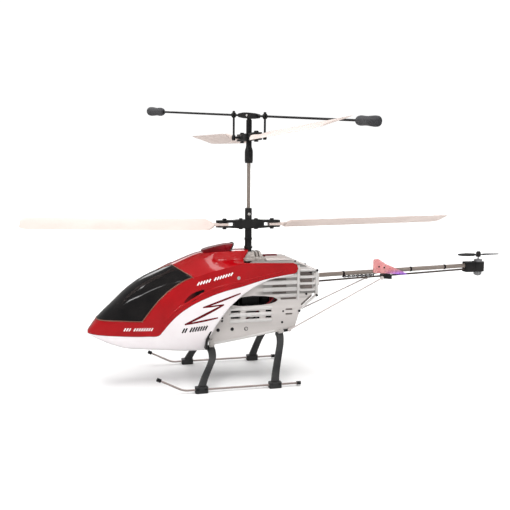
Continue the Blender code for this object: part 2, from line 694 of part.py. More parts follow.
def flybar_weight_mesh(side):
    profile = [(0, 140.5), (2.6, 140.5), (4.3, 142), (5.0, 145), (4.9, 149), (5.5, 151), (5.5, 164.5),
               (4.7, 167.2), (0, 167.6)]
    weight = turned(lathe(profile, 16), math.pi / 2, "Y")
    bore = rod((130, 0, 0), (152, 0, 0), FLYBAR_ROD_R + GAP)
    weight = cut(weight, bore)
    return flybar_tilted(weight if side > 0 else turned(weight, math.pi))


def link_mesh(side):
    """Eye around the flybar rod, thin stem, and a cup beside the yoke's arm."""
    tilt = side * FLYBAR_TILT
    top = Vector((side * LINK_RADIUS * math.cos(tilt), 0, -LINK_RADIUS * math.sin(tilt) + FLYBAR_Z))
    x = top.x
    eye = rod((x - 1.6, 0, top.z), (x + 1.6, 0, top.z), 3.1, 14)
    stem = rod((x, 0, UPPER_ROTOR_Z - 1), (x, 0, top.z - 2.4), 1.2, 10)
    cap = rod((x, 0, top.z + 2.4), (x, 0, top.z + 4.6), 1.5, 10)
    cup = shifted(lathe([(0, -3.3), (1.6, -3.3), (2.2, -2), (2.2, 1.6), (1.3, 3.2), (0, 3.2)], 12),
                  x, 0, UPPER_ROTOR_Z)
    hole = rod((x - 6, 0, top.z), (x + 6, 0, top.z), 1.8, 14)
    return turned(cut(joined(eye, stem, cap, cup), hole), FLYBAR_TURN)


def build_upper_rotor():
    black = material("head_black", (0.025, 0.024, 0.024), 0.45)
    white = material("upper_blade_white", (0.85, 0.83, 0.8), 0.3)
    steel = material("upper_bolt_steel", (0.2, 0.2, 0.2), 0.35, 0.9)
    rubber = material("weight_rubber", (0.05, 0.05, 0.05), 0.6)
    add_part("rotor_head", rotor_head_mesh(), black)
    centre = (0, 0, UPPER_ROTOR_Z)
    add_part("upper_yoke", turned(upper_yoke_mesh(), UPPER_ROTOR_TURN), black, pivot=centre)
    for name, turn in (("left", UPPER_ROTOR_TURN), ("right", UPPER_ROTOR_TURN + math.pi)):
        pivot = Vector((BOLT_RADIUS_FROM_MAST, 0, UPPER_ROTOR_Z))
        pivot.rotate(Matrix.Rotation(turn, 3, "Z"))
        add_part("upper_bolt_" + name, turned(blade_bolt(UPPER_ROTOR_Z, 4.2, 4.0), turn), steel)
        wing = turned(shifted(blade(True), z=UPPER_ROTOR_Z), turn)
        add_part("upper_blade_" + name, wing, white, pivot=pivot)
    pivot = (0, 0, FLYBAR_Z)
    add_part("flybar_hub", flybar_hub_mesh(), black, pivot=pivot)
    for name, side in (("left", 1), ("right", -1)):
        arm = flybar_tilted(rod((side * 5.5, 0, 0), (side * 151, 0, 0), FLYBAR_ROD_R))
        add_part("flybar_rod_" + name, arm, black, pivot=pivot)
        add_part("flybar_weight_" + name, flybar_weight_mesh(side), rubber, pivot=pivot)
        add_part("flybar_link_" + name, link_mesh(side), black)


# ---- tail ----

BOOM_TUBE_R = 2.6
BOOM_ROD_R = 1.1


def boom_z(x):
    return 116.0 + (-86 - x) * 0.0326


def boom_rod_z(x):
    return 108.8 + (-86 - x) * 0.046


def build_tail():
    grey = material("boom_grey", (0.35, 0.32, 0.3), 0.35, 0.8)
    dark = material("boom_rod_dark", (0.15, 0.14, 0.13), 0.35, 0.8)
    black = material("tail_black", (0.02, 0.02, 0.02), 0.5)
    pale = material("socket_pale", (0.8, 0.79, 0.77), 0.4)
    pink = material("fin_pink", (0.8, 0.35, 0.35), 0.3)
    tube = rod((-74.5, 0, boom_z(-74.5)), (-291, 0, boom_z(-291)), BOOM_TUBE_R)
    add_part("boom_tube", tube, grey)
    thin = rod((-74.5, 0, boom_rod_z(-74.5)), (-289, 0, boom_rod_z(-289)), BOOM_ROD_R, 10)
    add_part("boom_rod", thin, dark)
    bore = rod((-60, 0, boom_z(-60)), (-100, 0, boom_z(-100)), BOOM_TUBE_R + GAP)
    rod_bore = rod((-60, 0, boom_rod_z(-60)), (-100, 0, boom_rod_z(-100)), BOOM_ROD_R + GAP)
    socket = prism_y([(-74.4, 103.5), (-74.4, 121), (-78, 121), (-85, 119.5), (-85, 105)], (-7, 7))
    add_part("boom_socket", cut(socket, bore, rod_bore), pale)

    middle = -173.5
    z = boom_rod_z(middle)
    block = prism_y([(middle - 6, z - 4), (middle - 6, z + 1), (middle - 4, z + 2.4), (middle + 5, z + 2.4),
                     (middle + 6, z + 1), (middle + 6, z - 3)], (-4.5, 4.5))
    through = rod((middle - 20, 0, boom_rod_z(middle - 20)), (middle + 20, 0, boom_rod_z(middle + 20)),
                  BOOM_ROD_R + GAP)
    add_part("boom_clamp", cut(block, through), black)

    fin = [(-155, 117.2), (-155, 133.6), (-161, 134.4), (-171, 128), (-188, 120.6), (-203, 113.4),
           (-188, 114.4), (-172, 116)]
    side = BOOM_TUBE_R + GAP
    add_part("boom_fin", prism_y(fin, (side, side + 1.0)), pink)
    left = rod((-44, 25.6, 57.5), (-166, 5.7, 111), 0.9, 8)
    add_part("brace_left", left, grey)
    right = rod((-44, -25.6, 57.5), (-149, -2.6, 110.6), 0.9, 8)
    add_part("brace_right", right, grey)

    x = TAIL_ROTOR_X
    cradle = shifted(hollow_tube(5.4, 7.6, (115, 127)), x)
    arm = box((x + 6.6, x + 19), (-5, 5), (114.5, 127))
    sockets = [rod((x + 8, 0, boom_z(x + 8)), (-250, 0, boom_z(-250)), BOOM_TUBE_R + GAP),
               rod((x + 9, 0, boom_rod_z(x + 9)), (-250, 0, boom_rod_z(-250)), BOOM_ROD_R + GAP)]
    add_part("tail_motor_mount", cut(joined(cradle, arm), *sockets), black)
    can = [(0, 110.5), (4.2, 110.5), (5.0, 111.5), (5.0, 130), (2, 130.6), (0.8, 130.6), (0.8, 138.6),
           (0, 138.6)]
    silver = material("tail_motor_can", (0.5, 0.5, 0.5), 0.3, 0.9)
    add_part("tail_motor", shifted(lathe(can, 16), x), silver)
    gloss = material("tail_rotor_black", (0.03, 0.03, 0.03), 0.4)
    add_part("tail_rotor", tail_rotor_mesh(), gloss, pivot=(x, 0, TAIL_ROTOR_Z))


def tail_rotor_mesh():
    """Two twisted blades and a hub that sits over the motor's shaft."""
    rings = []
    tip = TAIL_ROTOR_RADIUS
    for radius, chord, pitch in ((-tip, 4, 14), (-26, 7, 14), (-16, 8.4, 18), (-6, 5, 26), (-2, 4, 0),
                                 (2, 4, 0), (6, 5, -26), (16, 8.4, -18), (26, 7, -14), (tip, 4, -14)):
        rings.append(blade_ring(radius, chord, 1.3, math.radians(pitch), 0.9, 0, 0))
    blades = shifted(skin(rings), z=TAIL_ROTOR_Z)
    hub = lathe([(0, 133), (2.6, 133), (2.9, 134), (2.9, 138.4), (2.0, 140), (0, 140)], 14)
    bore = rod((0, 0, 130), (0, 0, 138.9), 0.8 + GAP, 12)
    return shifted(cut(joined(hub, blades), bore), TAIL_ROTOR_X)


# ---- landing gear ----

FRONT_LEG = ((48.5, 18.5, 40.8), (47.6, 28, 37.6), (48.6, 37, 32), (52.8, 44.5, 26), (59, 50, 15.5),
             (63.4, 54.4, 6.2))
REAR_LEG = ((-33, 18.5, 52.6), (-32.4, 26, 49.8), (-30, 35, 43.5), (-25.4, 43.5, 31), (-21, 50.4, 15),
            (-19.2, 54.4, 6.4))
CLAMP_FRONT_X = 63.8
CLAMP_REAR_X = -18.9
CLAMP_HEIGHT = 6.6


def leg(path, clamp_x):
    """Curved flat leg with the clamp that grips the skid wire."""
    bar = sweep(path, 4.4, 2.1, (1, 0, 0))
    plan = [(-7, -3.2), (-6, -4.2), (6, -4.2), (7, -3.2), (7, 3.2), (6, 4.2), (-6, 4.2), (-7, 3.2)]
    clamp = shifted(prism_z(plan, (0, CLAMP_HEIGHT)), clamp_x, SKID_Y)
    hole = rod((clamp_x - 12, SKID_Y, SKID_Z), (clamp_x + 12, SKID_Y, SKID_Z), SKID_WIRE_R + GAP, 10)
    return cut(joined(bar, clamp), hole)


def skid_path():
    """Straight along the ground, then a round bend up at the front."""
    points = [(x, SKID_Y, SKID_Z) for x in (SKID_REAR_X, -10, 30, SKID_BEND_X)]
    for i in range(1, 5):
        turn = SKID_RISE * i / 4
        points.append((SKID_BEND_X + SKID_BEND_R * math.sin(turn), SKID_Y,
                       SKID_Z + SKID_BEND_R * (1 - math.cos(turn))))
    end = points[-1]
    points.append((end[0] + SKID_TIP_RUN * math.cos(SKID_RISE), SKID_Y,
                   end[2] + SKID_TIP_RUN * math.sin(SKID_RISE)))
    return points


def skid_cap(end, direction):
    """Hollow plastic tip over a wire's end."""
    direction = Vector(direction).normalized()
    tip = Vector(end) + direction * 1.7
    start = Vector(end) - direction * 2.8
    body = rod(start, tip, SKID_WIRE_R + 1.0, 10)
    bore = rod(start - direction, Vector(end) + direction * GAP, SKID_WIRE_R + GAP, 10)
    return cut(body, bore)


def build_landing_gear():
    black = material("gear_black", (0.02, 0.02, 0.02), 0.5)
    grey = material("skid_grey", (0.45, 0.43, 0.42), 0.3, 0.9)
    path = skid_path()
    front_way = Vector(path[-1]) - Vector(path[-2])
    for side, change in (("left", lambda mesh: mesh), ("right", mirrored)):
        add_part("leg_front_" + side, change(leg(FRONT_LEG, CLAMP_FRONT_X)), black)
        add_part("leg_rear_" + side, change(leg(REAR_LEG, CLAMP_REAR_X)), black)
        add_part("skid_" + side, change(wire(path, SKID_WIRE_R)), grey)
        add_part("skid_cap_front_" + side, change(skid_cap(path[-1], front_way)), black)
        add_part("skid_cap_rear_" + side, change(skid_cap(path[0], (-1, 0, 0))), black)


def main():
    clear_scene()
    station = bpy.data.objects.new("mast_station", None)
    station.location = (MAST_X * MM, 0, 0)
    bpy.context.scene.collection.objects.link(station)
    build_canopy()
    build_frame()
    build_chassis()
    build_drive()
    build_lower_rotor()
    build_upper_rotor()
    build_tail()
    build_landing_gear()


main()
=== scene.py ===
"""Coaxial toy helicopter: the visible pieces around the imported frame, with materials, light and camera.

Lengths are in millimetres from the mast's foot, +X the nose, +Y the left side and +Z up, until
add() turns them into the frame's metres.
"""
import json
import math

import bmesh
import bpy
from mathutils import Matrix, Vector
from mathutils.bvhtree import BVHTree


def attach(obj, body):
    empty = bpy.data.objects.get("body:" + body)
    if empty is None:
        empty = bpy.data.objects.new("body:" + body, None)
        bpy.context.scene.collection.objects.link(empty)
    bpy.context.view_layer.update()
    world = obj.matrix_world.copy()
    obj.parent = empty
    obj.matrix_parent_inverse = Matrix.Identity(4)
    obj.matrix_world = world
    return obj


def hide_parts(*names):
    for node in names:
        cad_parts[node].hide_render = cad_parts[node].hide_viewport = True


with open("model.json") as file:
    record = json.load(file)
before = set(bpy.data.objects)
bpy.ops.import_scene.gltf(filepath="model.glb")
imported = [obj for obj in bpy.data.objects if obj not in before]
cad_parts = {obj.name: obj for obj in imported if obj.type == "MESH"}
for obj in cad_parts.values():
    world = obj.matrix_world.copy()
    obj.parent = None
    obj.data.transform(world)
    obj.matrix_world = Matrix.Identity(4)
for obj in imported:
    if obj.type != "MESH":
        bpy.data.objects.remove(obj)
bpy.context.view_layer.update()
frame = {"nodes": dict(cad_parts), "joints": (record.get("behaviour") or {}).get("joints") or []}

MM = 0.001
JOINTS = {joint["name"]: joint for joint in frame["joints"]}
MAST_X = JOINTS["upper_rotor_spin"]["pos_m"][0] / MM
PLACE = Matrix.Diagonal((MM, MM, MM, 1)) @ Matrix.Translation((MAST_X, 0, 0))
SCENE = bpy.context.scene

# Driving dimensions, as in the CAD
NOSE_X = 183.0
GAP = 0.3
FRAME_INNER_Y = 21.0
FRAME_OUTER_Y = 22.6
SHELL = 1.2
INNER_SHAFT_R = 2.0
OUTER_SHAFT_R = 4.0
INNER_BORE_R = 2.4
LOWER_ROTOR_Z = 178.2
UPPER_ROTOR_Z = 277.0
FLYBAR_Z = 301.0
UPPER_ROTOR_TURN = math.radians(93.5)
FLYBAR_TURN = math.radians(127.0)
FLYBAR_TILT = math.radians(4.0)
LINK_RADIUS = 23.0
BOLT_RADIUS_FROM_MAST = 28.0
FORK_TIP = 38.0
BLADE_CHORD = 33.0
BLADE_PITCH = math.radians(19.0)
ROTOR_RADIUS = 250.0
TAIL_ROTOR_X = -299.0


# ---- shapes ----

def mesh_from(points, faces):
    mesh = bmesh.new()
    verts = [mesh.verts.new(p) for p in points]
    for face in faces:
        mesh.faces.new([verts[i] for i in face])
    bmesh.ops.recalc_face_normals(mesh, faces=mesh.faces)
    return mesh


def skin(rings, capped=True):
    """Quads between equal closed rings of points."""
    count = len(rings[0])
    points = [p for outline in rings for p in outline]
    faces = []
    for i in range(len(rings) - 1):
        for j in range(count):
            k = (j + 1) % count
            faces.append((i * count + j, i * count + k, (i + 1) * count + k, (i + 1) * count + j))
    if capped:
        faces.append(tuple(range(count)))
        faces.append(tuple(range((len(rings) - 1) * count, len(rings) * count)))
    return mesh_from(points, faces)


def box(x, y, z):
    return prism_z(rectangle(x, y), z)


def rectangle(x, y):
    return [(x[0], y[0]), (x[1], y[0]), (x[1], y[1]), (x[0], y[1])]


def prism_y(outline, y):
    """An outline of (x, z) points extruded along Y."""
    return skin([[(px, side, pz) for px, pz in outline] for side in y])


def prism_z(outline, z):
    return skin([[(px, py, height) for px, py in outline] for height in z])


def prism_x(outline, x):
    """An outline of (y, z) points extruded along X."""
    return skin([[(station, py, pz) for py, pz in outline] for station in x])


def rounded(outline, radius, steps=4):
    """A closed 2-D outline with its corners rounded."""
    result = []
    count = len(outline)
    for i in range(count):
        corner = Vector(outline[i])
        before = Vector(outline[i - 1]) - corner
        after = Vector(outline[(i + 1) % count]) - corner
        angle = before.angle(after)
        if angle > math.radians(172):
            result.append(tuple(corner))
            continue
        reach = min(radius / math.tan(angle / 2), before.length * 0.45, after.length * 0.45)
        start = corner + before.normalized() * reach
        end = corner + after.normalized() * reach
        for step in range(steps + 1):
            t = step / steps
            result.append(tuple(start * (1 - t) ** 2 + corner * 2 * t * (1 - t) + end * t * t))
    return result


def lathe(profile, segments=32):
    """(radius, z) points turned about Z; the profile starts and ends on the axis."""
    points = [(0.0, 0.0, profile[0][1])]
    inner = profile[1:-1]
    for radius, z in inner:
        for j in range(segments):
            turn = 2 * math.pi * j / segments
            points.append((radius * math.cos(turn), radius * math.sin(turn), z))
    points.append((0.0, 0.0, profile[-1][1]))
    last = len(points) - 1
    faces = []
    for j in range(segments):
        k = (j + 1) % segments
        faces.append((0, 1 + j, 1 + k))
        for i in range(len(inner) - 1):
            low = 1 + i * segments
            faces.append((low + j, low + segments + j, low + segments + k, low + k))
        faces.append((last - segments + j, last, last - segments + k))
    return mesh_from(points, faces)


def rod(start, end, radius, segments=24, soft=0.0):
    """A round bar between two points, its ends chamfered by soft."""
    start, end = Vector(start), Vector(end)
    length = (end - start).length
    profile = [(0, 0), (radius - soft, 0), (radius, soft), (radius, length - soft),
        (radius - soft, length), (0, length)]
    if not soft:
        profile = [(0, 0), (radius, 0), (radius, length), (0, length)]
    turn = (end - start).to_track_quat("Z", "X").to_matrix().to_4x4()
    return moved(lathe(profile, segments), Matrix.Translation(start) @ turn)


def tube_along(path, radius, segments=12, closed=False):
    """A round wire along any path, carried without twist."""
    path = [Vector(p) for p in path]
    count = len(path)
    rings = []
    side = None
    for i, point in enumerate(path):
        before = path[i - 1] if i or closed else path[0]
        after = path[(i + 1) % count] if i < count - 1 or closed else path[-1]
        way = (after - before).normalized()
        if side is None:
            side = way.orthogonal().normalized()
        side = (side - way * side.dot(way)).normalized()
        other = way.cross(side)
        rings.append([point + (side * math.cos(t) + other * math.sin(t)) * radius
            for t in (2 * math.pi * j / segments for j in range(segments))])
    if closed:
        rings.append(rings[0])
    made = skin(rings, capped=not closed)
    if closed:
        bmesh.ops.remove_doubles(made, verts=made.verts, dist=0.001)
    return made


def sweep(path, half_width, half_depth, width_axis):
    """A flat bar with rounded edges along a path; its width stays along width_axis."""
    width_axis = Vector(width_axis).normalized()
    outline = rounded([(1, 1), (-1, 1), (-1, -1), (1, -1)], 0.42, 5)
    rings = []
    for i, point in enumerate(path):
        before = Vector(path[max(i - 1, 0)])
        after = Vector(path[min(i + 1, len(path) - 1)])
        normal = (after - before).normalized().cross(width_axis).normalized()
        wide = half_width(i / (len(path) - 1)) if callable(half_width) else half_width
        rings.append([Vector(point) + width_axis * a * wide + normal * t * half_depth
                      for a, t in outline])
    return skin(rings)


def spline(before, a, b, after, t):
    """Point of a Catmull-Rom curve from a, at t = 0, to b, at t = 1."""
    return 0.5 * (2 * a + (b - before) * t + (2 * before - 5 * a + 4 * b - after) * t * t
        + (3 * a - before - 3 * b + after) * t ** 3)


def curve_through(points, steps=6):
    """Smooth curve through 3-D points."""
    points = [Vector(p) for p in points]
    run = []
    for i in range(len(points) - 1):
        a, b = points[i], points[i + 1]
        before = points[i - 1] if i else a * 2 - b
        after = points[i + 2] if i + 2 < len(points) else b * 2 - a
        run += [spline(before, a, b, after, step / steps) for step in range(steps)]
    run.append(points[-1])
    return run


def placed(name, data):
    """A new object that holds the data, in the scene."""
    holder = bpy.data.objects.new(name, data)
    SCENE.collection.objects.link(holder)
    return holder


def moved(mesh, matrix):
    bmesh.ops.transform(mesh, matrix=matrix, verts=mesh.verts)
    if matrix.determinant() < 0:
        bmesh.ops.reverse_faces(mesh, faces=mesh.faces)
    return mesh


def shifted(mesh, x=0.0, y=0.0, z=0.0):
    return moved(mesh, Matrix.Translation((x, y, z)))


def turned(mesh, angle, axis="Z"):
    return moved(mesh, Matrix.Rotation(angle, 4, axis))


def mirrored(mesh):
    """The same piece on the other side of the XZ plane."""
    return moved(mesh, Matrix.Diagonal((1, -1, 1, 1)))


SIDES = (("left", lambda mesh: mesh), ("right", mirrored))


def together(*meshes):
    """Several closed shells in one mesh, left as they are."""
    whole = bmesh.new()
    for part in meshes:
        data = bpy.data.meshes.new("working")
        part.to_mesh(data)
        part.free()
        whole.from_mesh(data)
        bpy.data.meshes.remove(data)
    return whole


CUTTER = 1                   # material index of faces that come from a boolean's tool
EDGE_ANGLE = math.radians(40)


def combined(base, tool, operation):
    """Boolean of two meshes; both are used up."""
    holders = []
    for index, source in enumerate((base, tool)):
        data = bpy.data.meshes.new("working")
        for face in source.faces:
            if index:
                face.material_index = CUTTER
        source.to_mesh(data)
        source.free()
        data.materials.append(None)
        data.materials.append(None)
        holders.append(placed("working", data))
    step = holders[0].modifiers.new("boolean", "BOOLEAN")
    step.operation = operation
    step.solver = "EXACT"
    step.object = holders[1]
    graph = bpy.context.evaluated_depsgraph_get()
    data = bpy.data.meshes.new_from_object(holders[0].evaluated_get(graph))
    result = bmesh.new()
    result.from_mesh(data)
    for holder in holders:
        bpy.data.objects.remove(holder, do_unlink=True)
    bmesh.ops.dissolve_degenerate(result, edges=result.edges, dist=0.0005)
    return result


def joined(base, *tools):
    for tool in tools:
        base = combined(base, tool, "UNION")
    return base


def cut(base, *tools):
    for tool in tools:
        base = combined(base, tool, "DIFFERENCE")
    return base


def soften(piece, width):
    """Round off the piece's edges; width is in millimetres."""
    edge = piece.modifiers.new("edge", "BEVEL")
    edge.width = width * MM
    edge.segments = 2
    edge.limit_method = "ANGLE"
    edge.angle_limit = EDGE_ANGLE
    return edge


def add(name, mesh, finish, node=None, body="airframe", bevel=0.0, sharp=35, wall=0.0):
    """Make the named piece from a mesh in millimetres; it rides on its body in its CAD node's place."""
    moved(mesh, PLACE)
    for face in mesh.faces:
        face.material_index = 0
    data = bpy.data.meshes.new(name)
    mesh.to_mesh(data)
    mesh.free()
    for one in finish if isinstance(finish, (list, tuple)) else (finish,):
        data.materials.append(one)
    data.shade_smooth()
    data.set_sharp_from_angle(angle=math.radians(sharp))
    made = placed(name, data)
    if wall:
        shell = made.modifiers.new("wall", "SOLIDIFY")
        shell.thickness = wall * MM
        shell.offset = -1
        shell.use_even_offset = True
        shell.material_offset = len(data.materials) - 1
    if bevel:
        soften(made, bevel).harden_normals = True
    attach(made, body)
    if node:
        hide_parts(node)


# ---- materials ----

def shade(red, green, blue):
    """A display colour, 0 to 255, as the linear colour that a shader takes."""
    return tuple((value / 255) ** 2.2 for value in (red, green, blue)) + (1.0,)


class Finish:
    """A Principled material and short ways to add nodes to it; sizes in its nodes are metres."""

    def __init__(self, name, **sockets):
        self.material = bpy.data.materials.new(name)
        self.material.use_nodes = True
        tree = self.material.node_tree
        self.nodes, self.links = tree.nodes, tree.links
        self.shader = self.nodes["Principled BSDF"]
        self.spot = self.nodes.new("ShaderNodeTexCoord").outputs["Object"]
        for socket, value in sockets.items():
            self.shader.inputs[socket.replace("_", " ")].default_value = value

    def node(self, kind, inputs, **settings):
        made = self.nodes.new("ShaderNode" + kind)
        for setting, value in settings.items():
            setattr(made, setting, value)
        for socket, value in inputs.items():
            self.feed(made.inputs[socket], value)
        return made

    def feed(self, socket, value):
        """Link a node's output to the socket, or set it to a plain value."""
        if isinstance(value, bpy.types.NodeSocket):
            self.links.new(value, socket)
        else:
            socket.default_value = value

    def axes(self):
        return self.node("SeparateXYZ", {0: self.spot}).outputs

    def noise(self, scale, stretch=(1, 1, 1), detail=3.0):
        place = self.node("Mapping", {"Vector": self.spot, "Scale": stretch})
        made = self.node("TexNoise", {"Vector": place.outputs[0], "Scale": scale, "Detail": detail})
        return made.outputs["Fac"]

    def ranged(self, value, low, high, out_low=0.0, out_high=1.0):
        made = self.node("MapRange", {"Value": value, "From Min": low, "From Max": high,
            "To Min": out_low, "To Max": out_high})
        return made.outputs["Result"]

    def mixed(self, share, first, second):
        made = self.nodes.new("ShaderNodeMix")
        made.data_type = "RGBA"
        for index, value in ((0, share), (6, first), (7, second)):
            self.feed(made.inputs[index], value)
        return made.outputs[2]

    def patches(self, scale, stretch=(1, 1, 1), spread=0.15):
        """A share from 0 to 1 in soft patches."""
        return self.ranged(self.noise(scale, stretch), 0.5 - spread, 0.5 + spread)

    def shades(self, share, dark, light):
        """From one display colour to another by share."""
        return self.mixed(share, shade(*dark), shade(*light))

    def math(self, operation, first, second=0.0):
        return self.node("Math", {0: first, 1: second}, operation=operation).outputs[0]

    def set(self, socket, value):
        self.links.new(value, self.shader.inputs[socket])

    def surface(self, roughness, spread, grain, bump, stretch=(1, 1, 1)):
        """Roughness that varies by spread, and a bump bump metres high."""
        self.set("Roughness", self.ranged(self.noise(grain * 0.4, stretch), 0.3, 0.7,
            max(roughness - spread, 0.02), roughness + spread))
        height = self.noise(grain, stretch, 5.0)
        relief = self.node("Bump", {"Height": height, "Distance": bump, "Strength": 0.6})
        self.set("Normal", relief.outputs[0])


def plain(name, dark, light, roughness, spread=0.06, grain=700.0, bump=0.00004, stretch=(1, 1, 1),
        patch=60.0, **sockets):
    """One-colour moulding or metal: two close shades in patches, uneven gloss, fine relief."""
    made = Finish(name, **sockets)
    made.set("Base Color", made.shades(made.patches(patch, stretch), dark, light))
    made.surface(roughness, spread, grain, bump, stretch)
    return made.material


ALONG_X = (0.03, 1, 1)
ALONG_Z = (1, 1, 0.03)

# Where the canopy's red meets its white: station x, z
RED_EDGE = ((183, 60), (173, 59.3), (154, 59), (118.4, 58.5), (107.6, 59), (102.9, 63.6), (96.9, 71.2),
    (87.3, 81.1), (75, 90), (57.7, 98.6), (38.7, 105), (11, 110.7), (-19.8, 118.3), (-48, 124.3))
CANOPY_REAR = -62.0
# Painted shade bands between the ribs of the side frame's rear part, in metres: height of one, step to
# the next
SHADE_BAND_Z, RIB_PITCH = 0.1164, 0.00775
CANOPY_HEIGHT = 160.0


def world_x(x):
    return (MAST_X + x) * MM


def canopy_paint():
    """Glossy paint, red above RED_EDGE and white below, with a thin dark line between."""
    paint = Finish("canopy_paint", Coat_Weight=0.7, Coat_Roughness=0.05, Specular_IOR_Level=0.2)
    place = paint.axes()
    station = paint.ranged(place["X"], world_x(CANOPY_REAR), world_x(NOSE_X))
    curve = paint.node("FloatCurve", {"Value": station})
    points = curve.mapping.curves[0].points
    for x, z in RED_EDGE[1:-1]:
        points.new((x - CANOPY_REAR) / (NOSE_X - CANOPY_REAR), z / CANOPY_HEIGHT)
    points[0].location = (0, RED_EDGE[-1][1] / CANOPY_HEIGHT)
    points[-1].location = (1, RED_EDGE[0][1] / CANOPY_HEIGHT)
    curve.mapping.update()
    height = paint.ranged(place["Z"], 0, CANOPY_HEIGHT * MM)
    above = paint.math("SUBTRACT", height, curve.outputs[0])
    is_red = paint.ranged(above, -0.0008, 0.0008)
    cloud = paint.patches(45.0, spread=0.2)
    red = paint.shades(cloud, (156, 6, 18), (172, 10, 22))
    white = paint.shades(cloud, (235, 228, 230), (242, 237, 239))
    line = paint.ranged(paint.math("ABSOLUTE", above), 0.0022, 0.004)
    edged = paint.mixed(line, shade(104, 12, 34), red)
    paint.set("Base Color", paint.mixed(is_red, white, edged))
    paint.surface(0.22, 0.05, 260.0, 0.00002)
    return paint.material


def vent_painted_shade():
    """Painted shade for the vent's dent: dark red at the vent's front end, black at its rear end, where
    the dent is deep.
    """
    vent = Finish("painted_vent_shadow", Specular_IOR_Level=0.2)
    place = vent.axes()
    # painted shade: black towards the dent's deep rear end
    rear = vent.ranged(place["X"], world_x(78), world_x(66))
    black = vent.shades(vent.patches(200.0), (20, 10, 12), (34, 18, 20))
    vent.set("Base Color", vent.mixed(rear, shade(104, 8, 18), black))
    vent.surface(0.4, 0.06, 600.0, 0.00003)
    return vent.material


def plate_metal_with_painted_shade():
    """Pale brushed sheet with painted shade: darker in the pressed-in bands between the ribs of its upper
    rear part.
    """
    plate = Finish("frame_plate_metal", Metallic=0.25)
    place = plate.axes()
    rear = plate.ranged(place["X"], world_x(-2), world_x(-14))
    high = plate.ranged(place["Z"], 0.0935, 0.0965)
    # painted shade: a cosine band greys the plate between the ribs, on its upper rear part only
    from_band = plate.math("SUBTRACT", place["Z"], SHADE_BAND_Z)
    band = plate.ranged(plate.math("COSINE", plate.math("MULTIPLY", from_band, 2 * math.pi / RIB_PITCH)),
        -0.5, 0.5)
    cloud = plate.patches(60.0, ALONG_X)
    pale = plate.shades(cloud, (204, 198, 195), (220, 214, 211))
    grey = plate.shades(cloud, (128, 125, 122), (150, 147, 144))
    painted_recess_shade = plate.math("MULTIPLY", plate.math("MULTIPLY", rear, high), band)
    plate.set("Base Color", plate.mixed(painted_recess_shade, pale, grey))
    plate.surface(0.38, 0.06, 1500.0, 0.00002, ALONG_X)
    return plate.material


def pink_sheet():
    """Translucent pink plastic that turns violet along its lower rear edge."""
    sheet = Finish("fin_pink", Transmission_Weight=0.35, IOR=1.4)
    place = sheet.axes()
    rear = sheet.ranged(place["X"], world_x(-168), world_x(-188))
    low = sheet.ranged(place["Z"], 0.121, 0.1155)
    pink = sheet.shades(sheet.patches(160.0), (232, 148, 150), (240, 172, 170))
    sheet.set("Base Color", sheet.mixed(sheet.math("MULTIPLY", rear, low), pink, shade(176, 120, 226)))
    sheet.surface(0.3, 0.08, 500.0, 0.00004)
    return sheet.material


def circuit_board():
    """Green lacquer over copper tracks."""
    board = Finish("board_green")
    tracks = board.node("TexBrick", {"Vector": board.spot, "Scale": 180.0, "Mortar Size": 0.06,
        "Color1": shade(20, 92, 48), "Color2": shade(14, 74, 40), "Mortar": shade(70, 130, 60)})
    board.set("Base Color", tracks.outputs["Color"])
    board.surface(0.35, 0.1, 900.0, 0.00005)
    return board.material


def battery_wrap():
    """Blue shrink wrap with a paler band and faint creases."""
    wrap = Finish("battery_wrap", Coat_Weight=0.4)
    place = wrap.axes()
    band = wrap.math("MULTIPLY", wrap.ranged(place["X"], world_x(72), world_x(72.6)),
        wrap.ranged(place["X"], world_x(96.6), world_x(96)))
    blue = wrap.shades(wrap.patches(90.0), (28, 52, 112), (38, 66, 132))
    wrap.set("Base Color", wrap.mixed(band, blue, shade(196, 204, 214)))
    wrap.surface(0.35, 0.1, 220.0, 0.0003, (0.2, 1, 1))
    return wrap.material


def studio_floor():
    floor = Finish("floor")
    floor.set("Base Color", floor.shades(floor.patches(1.5, spread=0.2), (243, 243, 243),
        (247, 247, 247)))
    floor.surface(0.75, 0.05, 30.0, 0.0002)
    return floor.material


PAINT = canopy_paint()
RAW_WHITE = plain("canopy_inside", (214, 208, 206), (224, 219, 217), 0.5)
WINDOW = plain("window_smoke", (20, 19, 20), (30, 28, 28), 0.12, 0.03, 200.0, 0.00001, Coat_Weight=0.35,
    Coat_Roughness=0.03, Specular_IOR_Level=0.2)
RIM = plain("window_rim", (112, 70, 56), (136, 92, 76), 0.35)
SCOOP = plain("scoop_red", (96, 8, 18), (116, 14, 26), 0.3, Coat_Weight=0.1, Coat_Roughness=0.06,
    Specular_IOR_Level=0.15)
STROKE = plain("stroke_dark_red", (92, 12, 22), (112, 18, 30), 0.3, Specular_IOR_Level=0.2)
INK = plain("ink_black", (20, 13, 17), (32, 22, 26), 0.35, Specular_IOR_Level=0.2)
VENT = vent_painted_shade()
PLATE = plate_metal_with_painted_shade()
WHITE_INK = plain("ink_white", (240, 236, 236), (248, 245, 245), 0.3)
ALUMINIUM = plain("frame_aluminium", (206, 203, 201), (226, 223, 221), 0.34, 0.06, 1500.0, 0.00002,
    ALONG_X, Metallic=0.25)
HOLDER = plain("holder_smoky", (156, 148, 142), (196, 188, 182), 0.3, 0.1, 400.0, 0.0002, patch=260.0,
    Transmission_Weight=0.15, Coat_Weight=0.4)
CLEAR = plain("cover_frosted", (224, 215, 211), (234, 227, 223), 0.34, 0.06, 200.0, 0.00002, patch=30.0,
    Transmission_Weight=0.1, IOR=1.45, Coat_Weight=0.4)
BLACK = plain("black_plastic", (30, 30, 31), (44, 43, 43), 0.42, 0.08, 900.0, 0.00006,
    Specular_IOR_Level=0.35)
